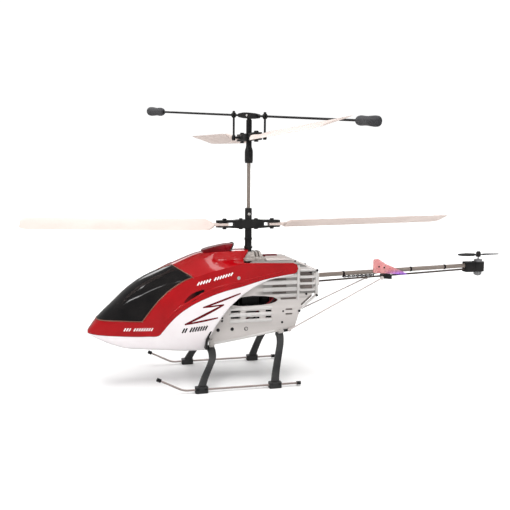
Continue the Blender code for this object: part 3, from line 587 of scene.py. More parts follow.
# painted shade: grey of the sheet that stands for the shadow behind the frame's slots
SHADE_PANEL = plain("shade_panel_grey", (100, 92, 88), (128, 118, 113), 0.5, 0.08, 900.0, 0.00006)
LEG_BLACK = plain("leg_black", (44, 45, 46), (58, 58, 58), 0.48, 0.08, 1100.0, 0.00008)
RUBBER = plain("weight_rubber", (60, 60, 63), (76, 76, 78), 0.6, 0.08, 1400.0, 0.0001)
STEEL = plain("shaft_steel", (150, 138, 130), (178, 166, 157), 0.3, 0.08, 1600.0, 0.00002, ALONG_Z,
    Metallic=0.6)
BRIGHT = plain("screw_silver", (206, 201, 197), (222, 218, 214), 0.3, Metallic=0.5)
BOLT = plain("bolt_black", (52, 52, 54), (72, 71, 72), 0.35, Metallic=0.8)
NYLON = plain("gear_nylon", (226, 224, 216), (238, 236, 229), 0.45, 0.08, 900.0, 0.00005,
    Subsurface_Weight=0.1)
BRASS = plain("pinion_brass", (186, 142, 66), (206, 164, 88), 0.32, Metallic=1.0)
MOTOR = plain("motor_can", (17, 17, 19), (28, 28, 30), 0.35, 0.08, 1200.0, 0.00003, ALONG_Z,
    Specular_IOR_Level=0.3)
MOTOR_END = plain("motor_end_red", (84, 10, 20), (108, 18, 28), 0.4, Specular_IOR_Level=0.2)
SWITCH = plain("switch_grey", (168, 168, 168), (186, 186, 185), 0.45)
BLADE = plain("blade_white", (210, 194, 187), (218, 203, 196), 0.4, 0.04, 160.0, 0.00001, patch=25.0,
    Specular_IOR_Level=0.2)
BOOM = plain("boom_grey", (132, 120, 112), (162, 150, 142), 0.34, 0.08, 1500.0, 0.00002, ALONG_X,
    Metallic=0.5)
BOOM_DARK = plain("boom_rod_dark", (74, 66, 62), (100, 90, 84), 0.36, 0.08, 1500.0, 0.00002, ALONG_X,
    Metallic=0.4)
BRACE = plain("brace_pale", (200, 190, 187), (218, 209, 206), 0.35, 0.08, 1500.0, 0.00002, ALONG_X,
    Metallic=0.3)
SKID = plain("skid_wire", (156, 142, 138), (184, 171, 167), 0.32, 0.08, 1500.0, 0.00002, ALONG_X,
    Metallic=0.5)
TAIL_CAN = plain("tail_motor_can", (150, 150, 152), (176, 176, 178), 0.28, 0.08, 1300.0, 0.00003, ALONG_Z,
    Metallic=0.6)
SOCKET = plain("socket_pale", (218, 213, 209), (230, 226, 222), 0.4)
RED_LEAD = plain("lead_red", (120, 22, 30), (144, 30, 38), 0.4, 0.08, 400.0, 0.0002)
BLACK_LEAD = plain("lead_black", (36, 30, 32), (50, 44, 46), 0.45, 0.08, 400.0, 0.0002)
PINK = pink_sheet()
BOARD = circuit_board()
WRAP = battery_wrap()
FLOOR = studio_floor()


# ---- canopy ----

# Side profile: station x, bottom z, top z
CANOPY_PROFILE = (
    (183, 59.5, 62.5), (180.5, 57.6, 66.5), (172, 53, 77.5), (157, 46.4, 92), (140, 41.4, 108),
    (123, 39.8, 119.8), (102, 38, 129.6), (80, 36, 139.2), (60, 35.4, 146.6), (45, 35.4, 148.5),
    (25, 35.4, 149.4), (8, 35.4, 149.8), (-62, 35.4, 149.8),
)
CANOPY_HALF_WIDTH = 36.0
CANOPY_WIDEST_X = 60.0
# Shoulder crease behind the window: station x, half width, z
SHOULDER = ((100, 31, 108), (80, 32.5, 119), (60, 32, 125), (45, 31.2, 129.5), (25, 29.8, 133.5),
    (8, 28.3, 136.3), (-62, 26.4, 137))
WINDOW_OUTLINE = (
    (200, 75.4), (171, 75.6), (150, 76.2), (124.5, 75.6), (121, 80.6), (115, 88.6), (107, 98.2),
    (96, 108.4), (86, 115.2), (77, 120.4), (68.5, 123.2), (91, 135.8), (93, 150), (200, 150),
)
# Point of body colour that runs forward along the ridge between the window's rear corners: x, y
RIDGE_POINT = ((105, 0), (87, 8.5), (60, 21), (60, -21), (87, -8.5))
CANOPY_OUTLINE = (
    (-47, 135.3), (10.8, 137), (1.5, 150), (1.5, 170), (200, 170), (200, 20), (55, 20), (54.2, 40),
    (51.5, 53.7), (43.2, 69.3), (35.5, 80), (27.3, 89.2), (12.5, 101.1), (-3, 110), (-19.8, 117.2),
    (-47, 121.6), (-51.5, 124.8), (-53, 128.8), (-51.3, 133.4),
)
MAST_NOTCH_R = 6.0
VENT_FRONT, VENT_REAR = Vector((80.0, 95.4)), Vector((55.5, 109.6))
VENT_DEPTH = 2.4
SCOOP_TOP = 157.0


def along(table, x, column):
    """Smooth value of one column of a table whose first column falls."""
    rows = list(table)
    if x >= rows[0][0]:
        return rows[0][column]
    for i in range(len(rows) - 1):
        a, b = rows[i], rows[i + 1]
        if a[0] >= x >= b[0]:
            span = a[0] - b[0]
            t = (a[0] - x) / span
            before = rows[i - 1] if i > 0 else a
            after = rows[i + 2] if i + 2 < len(rows) else b
            start = (b[column] - before[column]) / (before[0] - b[0]) * span
            end = (after[column] - a[column]) / (a[0] - after[0]) * span
            t2, t3 = t * t, t * t * t
            return ((2 * t3 - 3 * t2 + 1) * a[column] + (t3 - 2 * t2 + t) * start
                    + (3 * t2 - 2 * t3) * b[column] + (t3 - t2) * end)
    return rows[-1][column]


def blend(low, high, x):
    """0 at low, 1 at high, smooth between."""
    t = min(max((x - low) / (high - low), 0.0), 1.0)
    return t * t * (3 - 2 * t)


def canopy_half_width(x):
    if x > CANOPY_WIDEST_X:
        reach = (x - CANOPY_WIDEST_X) / (NOSE_X + 0.6 - CANOPY_WIDEST_X)
        return CANOPY_HALF_WIDTH * math.sqrt(max(1 - reach * reach, 0.002))
    return 27 + 9 * blend(-15, CANOPY_WIDEST_X, x)


def vent_half_width(share):
    """Half width of the side vent's lens shape, from its front to its rear end."""
    return 4.2 * math.sin(math.pi * min(max(share, 0.0), 1.0) ** 0.85)


def vent_dent(x, z):
    """How far the side vent is pressed in at a place on the flank."""
    way = VENT_REAR - VENT_FRONT
    spot = Vector((x, z)) - VENT_FRONT
    share = spot.dot(way) / way.length_squared
    if not 0 < share < 1:
        return 0.0
    off = abs(spot.x * way.y - spot.y * way.x) / way.length
    wide = vent_half_width(share) + 0.8
    return VENT_DEPTH * blend(0, 0.75, share) * (1 - blend(0.82, 1, share)) * (1 - blend(0.2 * wide, wide,
        off))


def canopy_section(x):
    """Closed ring of points around the canopy at one station, with creases at shoulder and hump."""
    bottom = along(CANOPY_PROFILE, x, 1)
    top = along(CANOPY_PROFILE, x, 2)
    wide = canopy_half_width(x)
    height = top - bottom
    creased = 1 - blend(62, 100, x)
    humped = 1 - blend(38, 50, x)
    corners = [(0, 0), (0.5, 0.015), (0.84, 0.13), (0.98, 0.33), (1.0, 0.5), (0.955, 0.67)]
    half = [(across * wide, bottom + up * height) for across, up in corners]
    round_top = [(0.83 * wide, bottom + 0.82 * height), (0.58 * wide, bottom + 0.93 * height),
        (0.3 * wide, bottom + 0.985 * height)]
    shoulder = (along(SHOULDER, x, 1), along(SHOULDER, x, 2))
    slope = (shoulder[0] * 0.62, shoulder[1] * 0.38 + top * 0.62 - 2)
    hump = ((16.8, 139.8), (10.5, top - 1.0))
    flank = [shoulder, tuple(s + humped * (h - s) for s, h in zip(slope, hump[0])),
        tuple(s + humped * (h - s) for s, h in zip((8.5, top - 1.2), hump[1]))]
    for soft, hard in zip(round_top, flank):
        half.append(tuple(s + creased * (h - s) for s, h in zip(soft, hard)))
    half.append((0, top))
    smooth = creased_run(half, 8, {6: 0.9 * creased, 7: 0.7 * humped, 8: 0.75 * humped})
    ring = [(max(y - vent_dent(x, z), 0.0), z) for y, z in smooth]
    return [(x, y, z) for y, z in ring + [(-y, z) for y, z in reversed(ring[1:-1])]]


def creased_run(points, steps, creases):
    """Smooth curve through half a section; creases gives how sharp some of its points are."""
    run = []
    points = [Vector(p) for p in points]
    for i in range(len(points) - 1):
        a, b = points[i], points[i + 1]
        before = points[i - 1] if i else Vector((-b.x, b.y))
        after = points[i + 2] if i + 2 < len(points) else Vector((-a.x, a.y))
        before = before.lerp(a * 2 - b, creases.get(i, 0.0))
        after = after.lerp(b * 2 - a, creases.get(i + 1, 0.0))
        run += [tuple(spline(before, a, b, after, step / steps)) for step in range(steps)]
    run.append(tuple(points[-1]))
    return run


def canopy_solid():
    """The canopy's whole outer surface, its stations closer together towards the nose."""
    count = 130
    length = NOSE_X - CANOPY_REAR
    return skin([canopy_section(NOSE_X - length * (i / count) ** 1.4) for i in range(count + 1)])


def trimmed_sheet(*steps):
    """The canopy's surface as an open sheet, kept inside or cut away by tools."""
    sheet = canopy_solid()
    for operation, tool in steps:
        sheet = combined(sheet, tool, operation)
    walls = [face for face in sheet.faces if face.material_index == CUTTER]
    bmesh.ops.delete(sheet, geom=walls, context="FACES")
    bmesh.ops.remove_doubles(sheet, verts=sheet.verts, dist=0.04)
    return sheet


def grown(outline, distance):
    """An outline moved outwards, or inwards for a negative distance."""
    count = len(outline)
    area = sum(outline[i][0] * outline[(i + 1) % count][1] - outline[(i + 1) % count][0] * outline[i][1]
        for i in range(count))
    sign = 1 if area > 0 else -1
    result = []
    for i in range(count):
        a, b, c = outline[i - 1], outline[i], outline[(i + 1) % count]
        first = Vector((b[0] - a[0], b[1] - a[1])).normalized()
        second = Vector((c[0] - b[0], c[1] - b[1])).normalized()
        normal = Vector((first.y + second.y, -first.x - second.x)).normalized() * sign
        scale = distance / max(normal.dot(Vector((first.y, -first.x)) * sign), 0.4)
        result.append((b[0] + normal.x * scale, b[1] + normal.y * scale))
    return result


def edge_loop(sheet):
    """The points of the sheet's longest open edge, in order."""
    open_edges = [edge for edge in sheet.edges if edge.is_boundary]
    loops = []
    while open_edges:
        loop = list(open_edges.pop().verts)
        while True:
            nearby = [e for e in loop[-1].link_edges if e in open_edges]
            if not nearby:
                break
            open_edges.remove(nearby[0])
            loop.append(nearby[0].other_vert(loop[-1]))
        loops.append([v.co.copy() for v in loop[:-1]])
    return max(loops, key=len)


def evenly(points, gap):
    """A closed loop's points thinned to about one each gap."""
    kept = [points[0]]
    for point in points[1:]:
        if (point - kept[-1]).length >= gap:
            kept.append(point)
    if (kept[-1] - kept[0]).length < gap * 0.6:
        kept.pop()
    return kept


SURFACE = BVHTree.FromBMesh(canopy_solid())
FLAT = ((-1, 0.05), (0, 0.05), (1, 0.05))
BEAD = ((-1, -0.05), (-0.7, 0.28), (-0.3, 0.46), (0.3, 0.46), (0.7, 0.28), (1, -0.05))


def on_canopy(x, z, lift):
    """The place on the canopy's left flank at a side-view point, lifted off it."""
    spot, normal = SURFACE.ray_cast(Vector((x, 90.0, z)), Vector((0.0, -1.0, 0.0)))[:2]
    return spot + normal * lift


def ribbon(path, half_width, profile=FLAT, lift=1.0, sink=0.35):
    """A strip that follows the left flank along a side-view path; half_width may be a function."""
    path = [Vector(p) for p in path]
    rings = []
    for i, point in enumerate(path):
        way = (path[min(i + 1, len(path) - 1)] - path[max(i - 1, 0)]).normalized()
        across = Vector((-way.y, way.x))
        wide = half_width(i / (len(path) - 1)) if callable(half_width) else half_width
        spots = [(point + across * a * wide, h) for a, h in profile]
        top = [on_canopy(p.x, p.y, h * lift) for p, h in spots]
        under = [on_canopy(p.x, p.y, -sink) for p, h in reversed(spots)]
        rings.append(top + under)
    return skin(rings)


def flat_curve(points, steps=6):
    return [Vector((p.x, p.y)) for p in curve_through([(x, z, 0) for x, z in points], steps)]


def both_sides(*meshes):
    """The meshes and their mirror images on the right side, as one mesh."""
    one = together(*meshes)
    return together(one, mirrored(one.copy()))


def dashes(start, end, height, slant, count, skipped=(), share=0.23):
    """Slanted bars in a row, from start to end at their feet; share is their half width over the step."""
    start, end = Vector(start), Vector(end)
    step = (end - start) / (count - 0.4)
    half = step.length * share
    made = []
    for i in range(count):
        if i in skipped:
            continue
        foot = start + step * (i + 0.3)
        head = foot + Vector((slant, height))
        made.append(ribbon([foot.lerp(head, t / 4) for t in range(5)], half))
    return made


def build_canopy():
    across, tall = (-60, 60), (20, 170)
    opening = cut(prism_y(WINDOW_OUTLINE, across), prism_z(RIDGE_POINT, tall))
    notch = rod((0, 0, 141), (0, 0, 171), MAST_NOTCH_R, 40)
    shell = trimmed_sheet(("INTERSECT", prism_y(CANOPY_OUTLINE, across)), ("DIFFERENCE", opening),
        ("DIFFERENCE", notch))
    add("canopy", shell, (PAINT, RAW_WHITE), "canopy_shell", wall=SHELL, sharp=28)
    window = trimmed_sheet(("INTERSECT", prism_y(grown(WINDOW_OUTLINE, -GAP), across)),
        ("DIFFERENCE", prism_z(grown(RIDGE_POINT, GAP), tall)))
    rim = evenly(edge_loop(window), 1.6)
    add("window", window, WINDOW, "canopy_window", wall=SHELL, sharp=50)
    add("window_rim", tube_along(rim, 0.55, 8, closed=True), RIM, sharp=80)

    crease = flat_curve(((95, 81.1), (87.7, 88.3), (79.1, 93.6), (54.4, 106.9), (32.6, 112.5),
        (14.1, 115.7), (-14, 121.4), (-40, 127.5)))
    bead = ribbon(crease, lambda t: 1.5 * math.sin(math.pi * (0.06 + 0.88 * t)) ** 0.6, BEAD)
    add("canopy_crease", both_sides(bead), PAINT, sharp=60)

    middle = [VENT_FRONT.lerp(VENT_REAR, 0.04 + 0.92 * t / 16) for t in range(17)]
    # painted shade: a dark strip laid in the vent's dent, black towards its deep rear end
    dark = ribbon(middle, lambda t: 0.3 + 0.85 * vent_half_width(0.04 + 0.92 * t))
    lip = ribbon([p + Vector((-1.3, -2.2)) for p in middle[2:-3]], 0.6, BEAD, 0.8)
    add("canopy_vent", both_sides(dark), VENT, sharp=60)
    add("canopy_vent_lip", both_sides(lip), PAINT, sharp=60)
    build_canopy_graphics()
    build_scoop()


def stroke_width(thick):
    """Half width along one stroke, thickest at its middle."""
    return lambda t: thick * (0.42 + 0.6 * math.sin(math.pi * (0.12 + 0.76 * t)))


def build_canopy_graphics():
    """Plain strokes and rows of bars where the toy's printed graphics are; no lettering."""
    corners = [Vector(p) for p in ((15, 103.0), (58.8, 89.9), (34.9, 91.8), (78.8, 71.4), (41.7, 77.4))]
    strokes = []
    for i, thick in enumerate((1.1, 0.9, 1.35, 1.1)):
        tail, tip = corners[i], corners[i + 1]
        run = [tail.lerp(tip, t / 10) for t in range(11)]
        strokes.append(ribbon(run, stroke_width(thick)))
    add("canopy_strokes", both_sides(*strokes), STROKE, sharp=60)
    upper = dashes((65.5, 114.2), (25.8, 123.6), 3.6, -2.4, 13, skipped=(5,))
    nose = dashes((145, 65.2), (114.6, 65.2), 3.4, -2.0, 12, skipped=(3,))
    add("canopy_white_bars", both_sides(*upper, *nose), WHITE_INK, sharp=60)
    lower = dashes((82.4, 61.6), (55.4, 63.8), 5.4, -2.6, 10, (2,), 0.3)
    add("canopy_dark_bars", both_sides(*lower), INK, sharp=60)
    screw = screw_head(2.0, 0.9)
    spot = on_canopy(17.3, 120.4, 0.0)
    facing = (on_canopy(17.3, 120.4, 1.0) - spot).to_track_quat("Z", "X").to_matrix().to_4x4()
    moved(screw, Matrix.Translation(spot) @ facing)
    add("canopy_screw", both_sides(screw), BRIGHT, bevel=0.1)


def screw_head(radius, height):
    """A domed head facing +Z with its seat at z = 0 and a cross recess."""
    dome = [(radius * math.cos(t), height * (0.35 + 0.65 * math.sin(t)))
            for t in (math.pi / 2 * i / 5 for i in range(5))]
    head = lathe([(0, -0.6), (radius * 0.9, -0.6), (radius, 0)] + dome + [(0, height)], 20)
    arm, half, floor = radius * 0.62, radius * 0.13, height * 0.45
    plus = joined(box((-arm, arm), (-half, half), (floor, height + 1)),
        box((-half, half), (-arm, arm), (floor, height + 1)))
    return cut(head, plus)


def side_screw(radius, height, x, y, z, toward=-1):
    """A screw head that faces the left side, or the right one for toward = 1."""
    return shifted(turned(screw_head(radius, height), toward * math.pi / 2, "X"), x, y, z)


def arch(x, half, low, high, count=14):
    """Points over an inverted U, from one foot to the other."""
    points = []
    for i in range(count + 1):
        t = math.pi * i / count
        points.append((x, half * math.copysign(abs(math.cos(t)) ** 0.55, math.cos(t)),
            low + (high - low) * math.sin(t) ** 0.6))
    return points


def build_scoop():
    """Air scoop on the ridge, closed in front, open at the rear, with a dark lip."""
    spine = curve_through([(54.5, 0, 149.6), (52, 0, 151), (45, 0, 153), (36, 0, 154.9), (27, 0, 156.3),
        (18.6, 0, SCOOP_TOP)], 5)
    rings = []
    for i, top in enumerate(spine):
        share = i / (len(spine) - 1)
        half = 5.5 + 5.3 * share ** 0.45
        low = along(CANOPY_PROFILE, top.x, 2) - 0.9
        outer = arch(top.x, half, low, top.z)
        inner = arch(top.x, half - 1.2, low - 0.2, max(top.z - 1.3, low))
        rings.append(outer + inner[::-1])
    for ring in rings:
        for j, (x, y, z) in enumerate(ring):
            ring[j] = (x + 0.6 * (SCOOP_TOP - z) * blend(40, 18.6, x), y, z)
    lip = [Vector(p) for p in rings[-1][:15]]
    add("scoop", skin(rings), SCOOP, "roof_scoop", bevel=0.15)
    add("scoop_lip", tube_along(lip, 0.75, 8), BLACK)


# ---- metal frame and what it holds ----

FRAME_OUTLINE = (
    (47, 43.2), (50, 55), (43, 90), (30, 116), (14, 130), (0, 137.8), (-46, 137.8), (-58, 133),
    (-78.5, 124), (-78.5, 97), (-57, 78.8), (-50.5, 58.5), (-46, 56.3), (-27, 54.6),
)
MOTOR_WINDOW = (
    (26, 88.6), (20, 94), (12, 97.2), (0, 98.4), (-14, 97.6), (-25, 95.9), (-30.5, 93), (-29, 90.6),
    (-22, 88.3), (-12, 87.2), (0, 86.7), (14, 86.7),
)
# Louvre slots in the side frame: front x, rear x, middle z
LOUVRES = ((25, 13.5, 80.6), (7.5, -8.8, 79.8), (-15.8, -23, 80.2), (25, 13.5, 73.6), (7.5, -8.8, 72.6),
    (-15.8, -23, 73.2), (-23.5, -40.4, 116.4), (-23.5, -40.4, 108.6), (-23.5, -40.4, 100.8),
    (-33.5, -52.5, 93.8))
LOUVRE_HEIGHT = 2.4
REAR_SLOTS_Z = (122.0, 114.2, 106.8)
REAR_SLOT_HEIGHT = 4.4
THROUGH = (10, 40)           # span in y of tools that cut through the left plate
FRONT_BRACKET = ((48.4, 62.5), (50.6, 61.5), (55, 53), (55.8, 41), (53.4, 41), (52.6, 52))
EDGE_BEAD_X = -55.0          # screws behind this station stand on the edge bead
# Dark panel behind the slots of the frame's rear half: painted shade, a sheet that stands for the shadow
# inside the frame
SHADE_PANEL_OUTLINE = ((-26, 62), (-26, 84), (-34, 92), (-30, 99.5), (-12, 101), (-12, 126), (-46, 131),
    (-71.5, 121.5), (-71.5, 95), (-55.5, 81), (-47, 62))
GUSSET_SLOT = ((-57.6, 86.6), (-73.4, 100.2), (-75.2, 97.2), (-59.4, 83.8))
# Pressed ribs that stand out of the plate: front x, rear x, middle z, half height
RIBS = ((27, -24, 84.0, 2.0), (27, -24, 76.8, 2.2), (27, -24, 69.6, 2.2), (-20, -53, 120.2, 2.2),
        (-12, -53, 112.5, 2.4), (-12, -53, 104.7, 2.4), (-31, -53, 97.3, 1.9), (-56, -75, 126.0, 1.5),
        (-56, -75.5, 118.1, 1.6), (-56, -75.5, 110.5, 1.5), (-56, -75.5, 103.0, 1.5))
# Screw heads on each side: x, z, radius
BLACK_SCREWS = ((39.5, 60.3, 2.0), (23.3, 60.7, 2.0), (34.9, 74, 1.2), (34.9, 70.6, 1.2),
    (-35.7, 66.1, 1.3), (-36.7, 79, 1.1), (-77, 125.7, 1.5), (-77, 96.3, 1.5), (-64.2, 98.4, 1.3),
    (-56, 78.6, 1.5), (-50.2, 136.9, 1.1))


def slotted(front, rear, z, height):
    """A long slot with round ends, as a tool that cuts through the left plate."""
    outline = rectangle((rear, front), (z - height / 2, z + height / 2))
    return prism_y(rounded(outline, height * 0.45), THROUGH)


def side_frame():
    plate = prism_y(rounded(FRAME_OUTLINE, 3.0), (FRAME_INNER_Y, FRAME_OUTER_Y))
    tools = [prism_y(rounded(MOTOR_WINDOW, 4.0, 3), THROUGH),
        prism_y(rounded(GUSSET_SLOT, 1.2, 3), THROUGH)]
    tools += [slotted(front, rear, z, LOUVRE_HEIGHT) for front, rear, z in LOUVRES]
    tools += [slotted(-56.4, -73.4, z, REAR_SLOT_HEIGHT) for z in REAR_SLOTS_Z]
    tools += [slotted(-39.6, -48, z, 1.8) for z in (81, 75.5)]
    return cut(plate, *tools)


def rib(front, rear, z, half, out=1.5):
    """A convex bar on the plate's outer face, running out at both ends."""
    rings = []
    for x, share in ((front, 0.15), (front - 0.8, 0.6), (front - 2.2, 1), (rear + 2.2, 1),
            (rear + 0.8, 0.6), (rear, 0.15)):
        bow = [(x, FRAME_OUTER_Y - 0.3 + (out * share + 0.3) * math.cos(t),
            z + half * share ** 0.4 * math.sin(t)) for t in (math.pi * (i / 10 - 0.5) for i in range(11))]
        rings.append(bow)
    return skin(rings)


def on_plate(mesh, x, z, lift=0.0):
    """A piece made facing +Z, set on the left plate's outer face."""
    return shifted(turned(mesh, -math.pi / 2, "X"), x, FRAME_OUTER_Y + lift, z)


def build_frame():
    for side, change in SIDES:
        node = "side_frame_" + side
        add("frame_plate_" + side, change(side_frame()), PLATE, node, bevel=0.25)
        ribs = [rib(*row) for row in RIBS]
        posts = [box((x - 1.3, x + 1.3), (22.3, 23.5), z)
                 for x, z in ((-54.4, (92, 132)), (-76.6, (98, 124)))]
        edge = tube_along([(-56.8, 22.6, 79.6), (-78, 22.6, 97.4)], 1.0, 10)
        belly = tube_along(curve_through([(44, 22.2, 45.2), (10, 22.4, 50.2), (-27, 22.2, 56)], 4), 1.5,
            12)
        ribs += posts + [edge, belly]
        add("frame_ribs_" + side, change(together(*ribs)), ALUMINIUM, bevel=0.2)
        heads = [on_plate(screw_head(size, size * 0.45), x, z, 0.6 if x < EDGE_BEAD_X else 0.0) for x, z,
            size in BLACK_SCREWS]
        heads.append(on_plate(lathe([(0, -0.4), (2.3, -0.4), (2.3, 0.15), (0, 0.15)], 24), 7.0, 60.4))
        add("frame_screws_" + side, change(together(*heads)), BOLT, bevel=0.06)
        bright = on_plate(screw_head(1.7, 0.8), 7.0, 60.4, 0.2)
        nut = on_plate(prism_z([(1.1 * math.cos(a), 1.1 * math.sin(a))
            for a in (math.pi / 3 * i for i in range(6))], (-0.3, 0.9)), 24.2, 86.2)
        add("frame_bright_screws_" + side, change(together(bright, nut)), BRIGHT,
            bevel=0.08)
        pads = [prism_y(rounded([(-35.4, 54.6), (-44.6, 55.4), (-44.6, 58.2), (-35.4, 57.6)], 0.8),
            (FRAME_OUTER_Y, 24.6)), prism_y(rounded(FRONT_BRACKET, 0.6), (FRAME_OUTER_Y + 0.2, 33.5))]
        add("frame_pads_" + side, change(together(*pads)), BLACK, bevel=0.2)
        blocks = [prism_y(rounded([(-30.6, 53.2), (-37.4, 53.8), (-37.2, 57.8), (-30.8, 57.6)], 1.0),
            (20, 24.8)), prism_y(rounded([(43.6, 41.6), (49.4, 40.4), (50.6, 50), (45, 50.6)], 1.0),
            (20, 23.8))]
        # painted shade: a dark sheet just inside the plate, seen through the slots as the shadow inside
        # the frame
        panel = prism_y(SHADE_PANEL_OUTLINE, (FRAME_INNER_Y - 0.26, FRAME_INNER_Y - 0.04))
        add("frame_shade_panel_" + side, change(panel), SHADE_PANEL)
        add("leg_blocks_" + side, change(together(*blocks)), BRIGHT, bevel=0.3)
    build_covers()
    build_interior()


def build_covers():
    """Frosted cover over the rear deck, and the smoky plate and boss that hold the mast."""
    edge = [(-16.5, 137.8), (-46, 137.8), (-58, 133), (-78.5, 124)]
    under = [(x, z + GAP) for x, z in edge]
    over = [(x, z + GAP + 1.3) for x, z in reversed(edge)]
    cover = prism_y(under + over, (-FRAME_OUTER_Y, FRAME_OUTER_Y))
    ridge = prism_y(rounded([(-18, 138.6), (-45, 138.6), (-42, 141.2), (-20, 141.2)], 1.0), (-9, 9))
    add("rear_cover", joined(cover, ridge), CLEAR, "top_cover", bevel=0.35)
    bar = prism_y(rounded([(-17, 140.8), (-35, 140.8), (-34, 142.6), (-18, 142.6)], 0.7), (-2.5, 2.5))
    add("cover_bar", bar, SCOOP, bevel=0.2)

    plate = prism_z(rounded(rectangle((-16, 9), (-22.4, 22.4)), 2.5), (138.1, 141))
    base = rounded(rectangle((-15.6, 9.6), (-14.4, 14.4)), 3)
    crown = rounded(rectangle((-13, 4.6), (-8.6, 8.6)), 3)
    block = skin([[(x, y, 139) for x, y in base], [(x * 0.96, y * 0.93, 142) for x, y in base],
        [(x, y, 147) for x, y in crown]])
    grooves = [box((x, x + 1.6), (side * 9 - 7, side * 9 + 7), (141.5, 149)) for x in (-10.4, -6.6)
        for side in (1, -1)]
    holder = cut(joined(plate, block), rod((0, 0, 130), (0, 0, 150), OUTER_SHAFT_R + GAP, 32), *grooves)
    add("mast_holder", holder, HOLDER, "mast_bearing_housing", bevel=0.3)
    feet = [shifted(screw_head(1.3, 0.7), x, y, 140) for x in (-13, 2) for y in (-18.5, 18.5)]
    add("holder_screws", together(*feet), BOLT, bevel=0.06)


def build_interior():
    """Leads, motor ends and plugs seen through the frame's openings."""
    leads = ((RED_LEAD, "a", [(21, 5, 66.4), (20, 15, 63.8), (4, 18.2, 72), (-22, 18.4, 90),
        (-34, 17.8, 102.4), (-50, 16.5, 112), (-66, 12, 117), (-72, 9, 118)]),
        (BLACK_LEAD, "b", [(22, -5, 66.4), (22, 14, 64.4), (0, 19, 70), (-26, 19, 92), (-38, 18.6, 107.8),
        (-52, 17.4, 116.4), (-65, 13, 120), (-72, 10, 121)]),
        (RED_LEAD, "c", [(-24, 4, 62.4), (-30, 12, 66), (-33, 17.6, 84), (-30, 18.2, 101),
        (-42, 17.4, 108.6), (-60, 13.5, 111), (-72, 8, 113)]),
        (BLACK_LEAD, "d", [(58, 6, 60), (50, 8, 57), (40, 8, 60), (30, 6, 63.8)]),
        (RED_LEAD, "e", [(58, 2, 60), (51, 3, 58), (41, 4, 61), (30, 3, 63.8)]),)
    for finish, letter, route in leads:
        add("lead_" + letter, tube_along(curve_through(route, 7), 0.85, 10), finish)
    for name, x in (("front", 21), ("rear", -21)):
        cap = shifted(lathe([(0, 62.8), (3.0, 62.8), (3.2, 65.2), (8.9, 65.2), (9.3, 65.7), (9.3, 66.05),
            (0, 66.05)], 40), x)
        add("motor_cap_" + name, cap, MOTOR_END, bevel=0.1)
        band = [shifted(lathe([(0, z), (9.95, z), (10.05, z + 0.4), (9.95, z + 0.8), (0, z + 0.8)], 40),
            x) for z in (69, 91)]
        add("motor_bands_" + name, together(*band), MOTOR)
    for side, change in SIDES:
        end = prism_y(rounded([(-22.4, 85.5), (-31, 85.5), (-31, 96), (-22.4, 96)], 1.5), (13.4, 16))
        add("motor_guard_" + side, change(end), MOTOR_END, bevel=0.3)
    cradle = prism_z(rounded(rectangle((-10.6, 10.6), (-13, 13)), 2), (82, 96))
    add("motor_cradle", cradle, MOTOR, bevel=0.4)
    plug = joined(box((26, 31), (-1, 9), (63.2, 67)), box((27, 30), (0, 8), (66, 68.2)))
    add("board_plug", plug, WHITE_INK, bevel=0.25)
    carrier = prism_x(rounded([(19.4, 99.3), (19.4, 133), (15.8, 136.6), (-15.8, 136.6), (-19.4, 133),
        (-19.4, 99.3), (-15, 99.3), (-15, 129), (15, 129), (15, 99.3)], 1.5), (-12, -4))
    bore = rod((0, 0, 120), (0, 0, 140), OUTER_SHAFT_R + 5, 32)
    gear_room = [rod((0, 0, z[0] - 0.8), (0, 0, z[1] + 0.8), 20.6, 48)
        for z in ((103, 108), (116.5, 121.5))]
    add("gear_carrier", cut(carrier, bore, *gear_room), LEG_BLACK, bevel=0.3)


# ---- mast and rotors ----

TAB_START, TAB_END = 24.0, 40.5
TAB_THICKNESS = 3.2
TAB_HALF_WIDTH = 5.2


def blade_ring(radius, chord, thick, pitch, boxy, sweep_back, rise, taper=0.0, count=36):
    """Closed section across a blade, leading edge at +y; taper thins the trailing edge."""
    ring = []
    for j in range(count):
        turn = 2 * math.pi * j / count
        share = math.copysign(abs(math.cos(turn)) ** boxy, math.cos(turn))
        up = math.copysign(abs(math.sin(turn)) ** boxy, math.sin(turn)) * thick / 2
        up *= 1 - taper * (0.5 - share / 2)
        up += taper * 0.02 * chord * (1 - share * share)
        across = share * chord / 2
        y = across * math.cos(pitch) - up * math.sin(pitch)
        z = across * math.sin(pitch) + up * math.cos(pitch)
        ring.append((radius, y - sweep_back, z + rise))
    return ring


def blade(turns_ccw):
    """One blade along +X, its bolt hole at BOLT_RADIUS_FROM_MAST."""
    rings = [blade_ring(radius, 2 * TAB_HALF_WIDTH, TAB_THICKNESS, 0, 0.3, 0, 0)
        for radius in (TAB_START, TAB_START + 0.4, 32, TAB_END - 1, TAB_END)]
    stations = curve_through(((42, 0.62, 3.6), (46, 0.82, 3.6), (52, 0.94, 3.0), (62, 1.0, 2.5),
        (90, 1.0, 2.1), (120, 1.0, 2.0), (190, 1.0, 1.8), (236, 0.98, 1.5), (246, 0.86, 1.2),
        (ROTOR_RADIUS, 0.6, 0.9)), 5)
    for radius, share, thick in stations:
        pitch = BLADE_PITCH * blend(TAB_END - 2, TAB_END + 8, radius)
        back = BLADE_CHORD * (1 - share) * (0.35 if radius > 200 else 0.0)
        shaped = blend(TAB_END, 56, radius)
        rings.append(blade_ring(radius, BLADE_CHORD * share, thick, pitch, 0.3 + 0.62 * shaped, back,
            0.02 * (radius - TAB_END), 0.55 * shaped))
    made = skin(rings)
    hole = rod((BOLT_RADIUS_FROM_MAST, 0, -9), (BOLT_RADIUS_FROM_MAST, 0, 9), 1.5)
    made = cut(made, hole)
    return made if turns_ccw else mirrored(made)


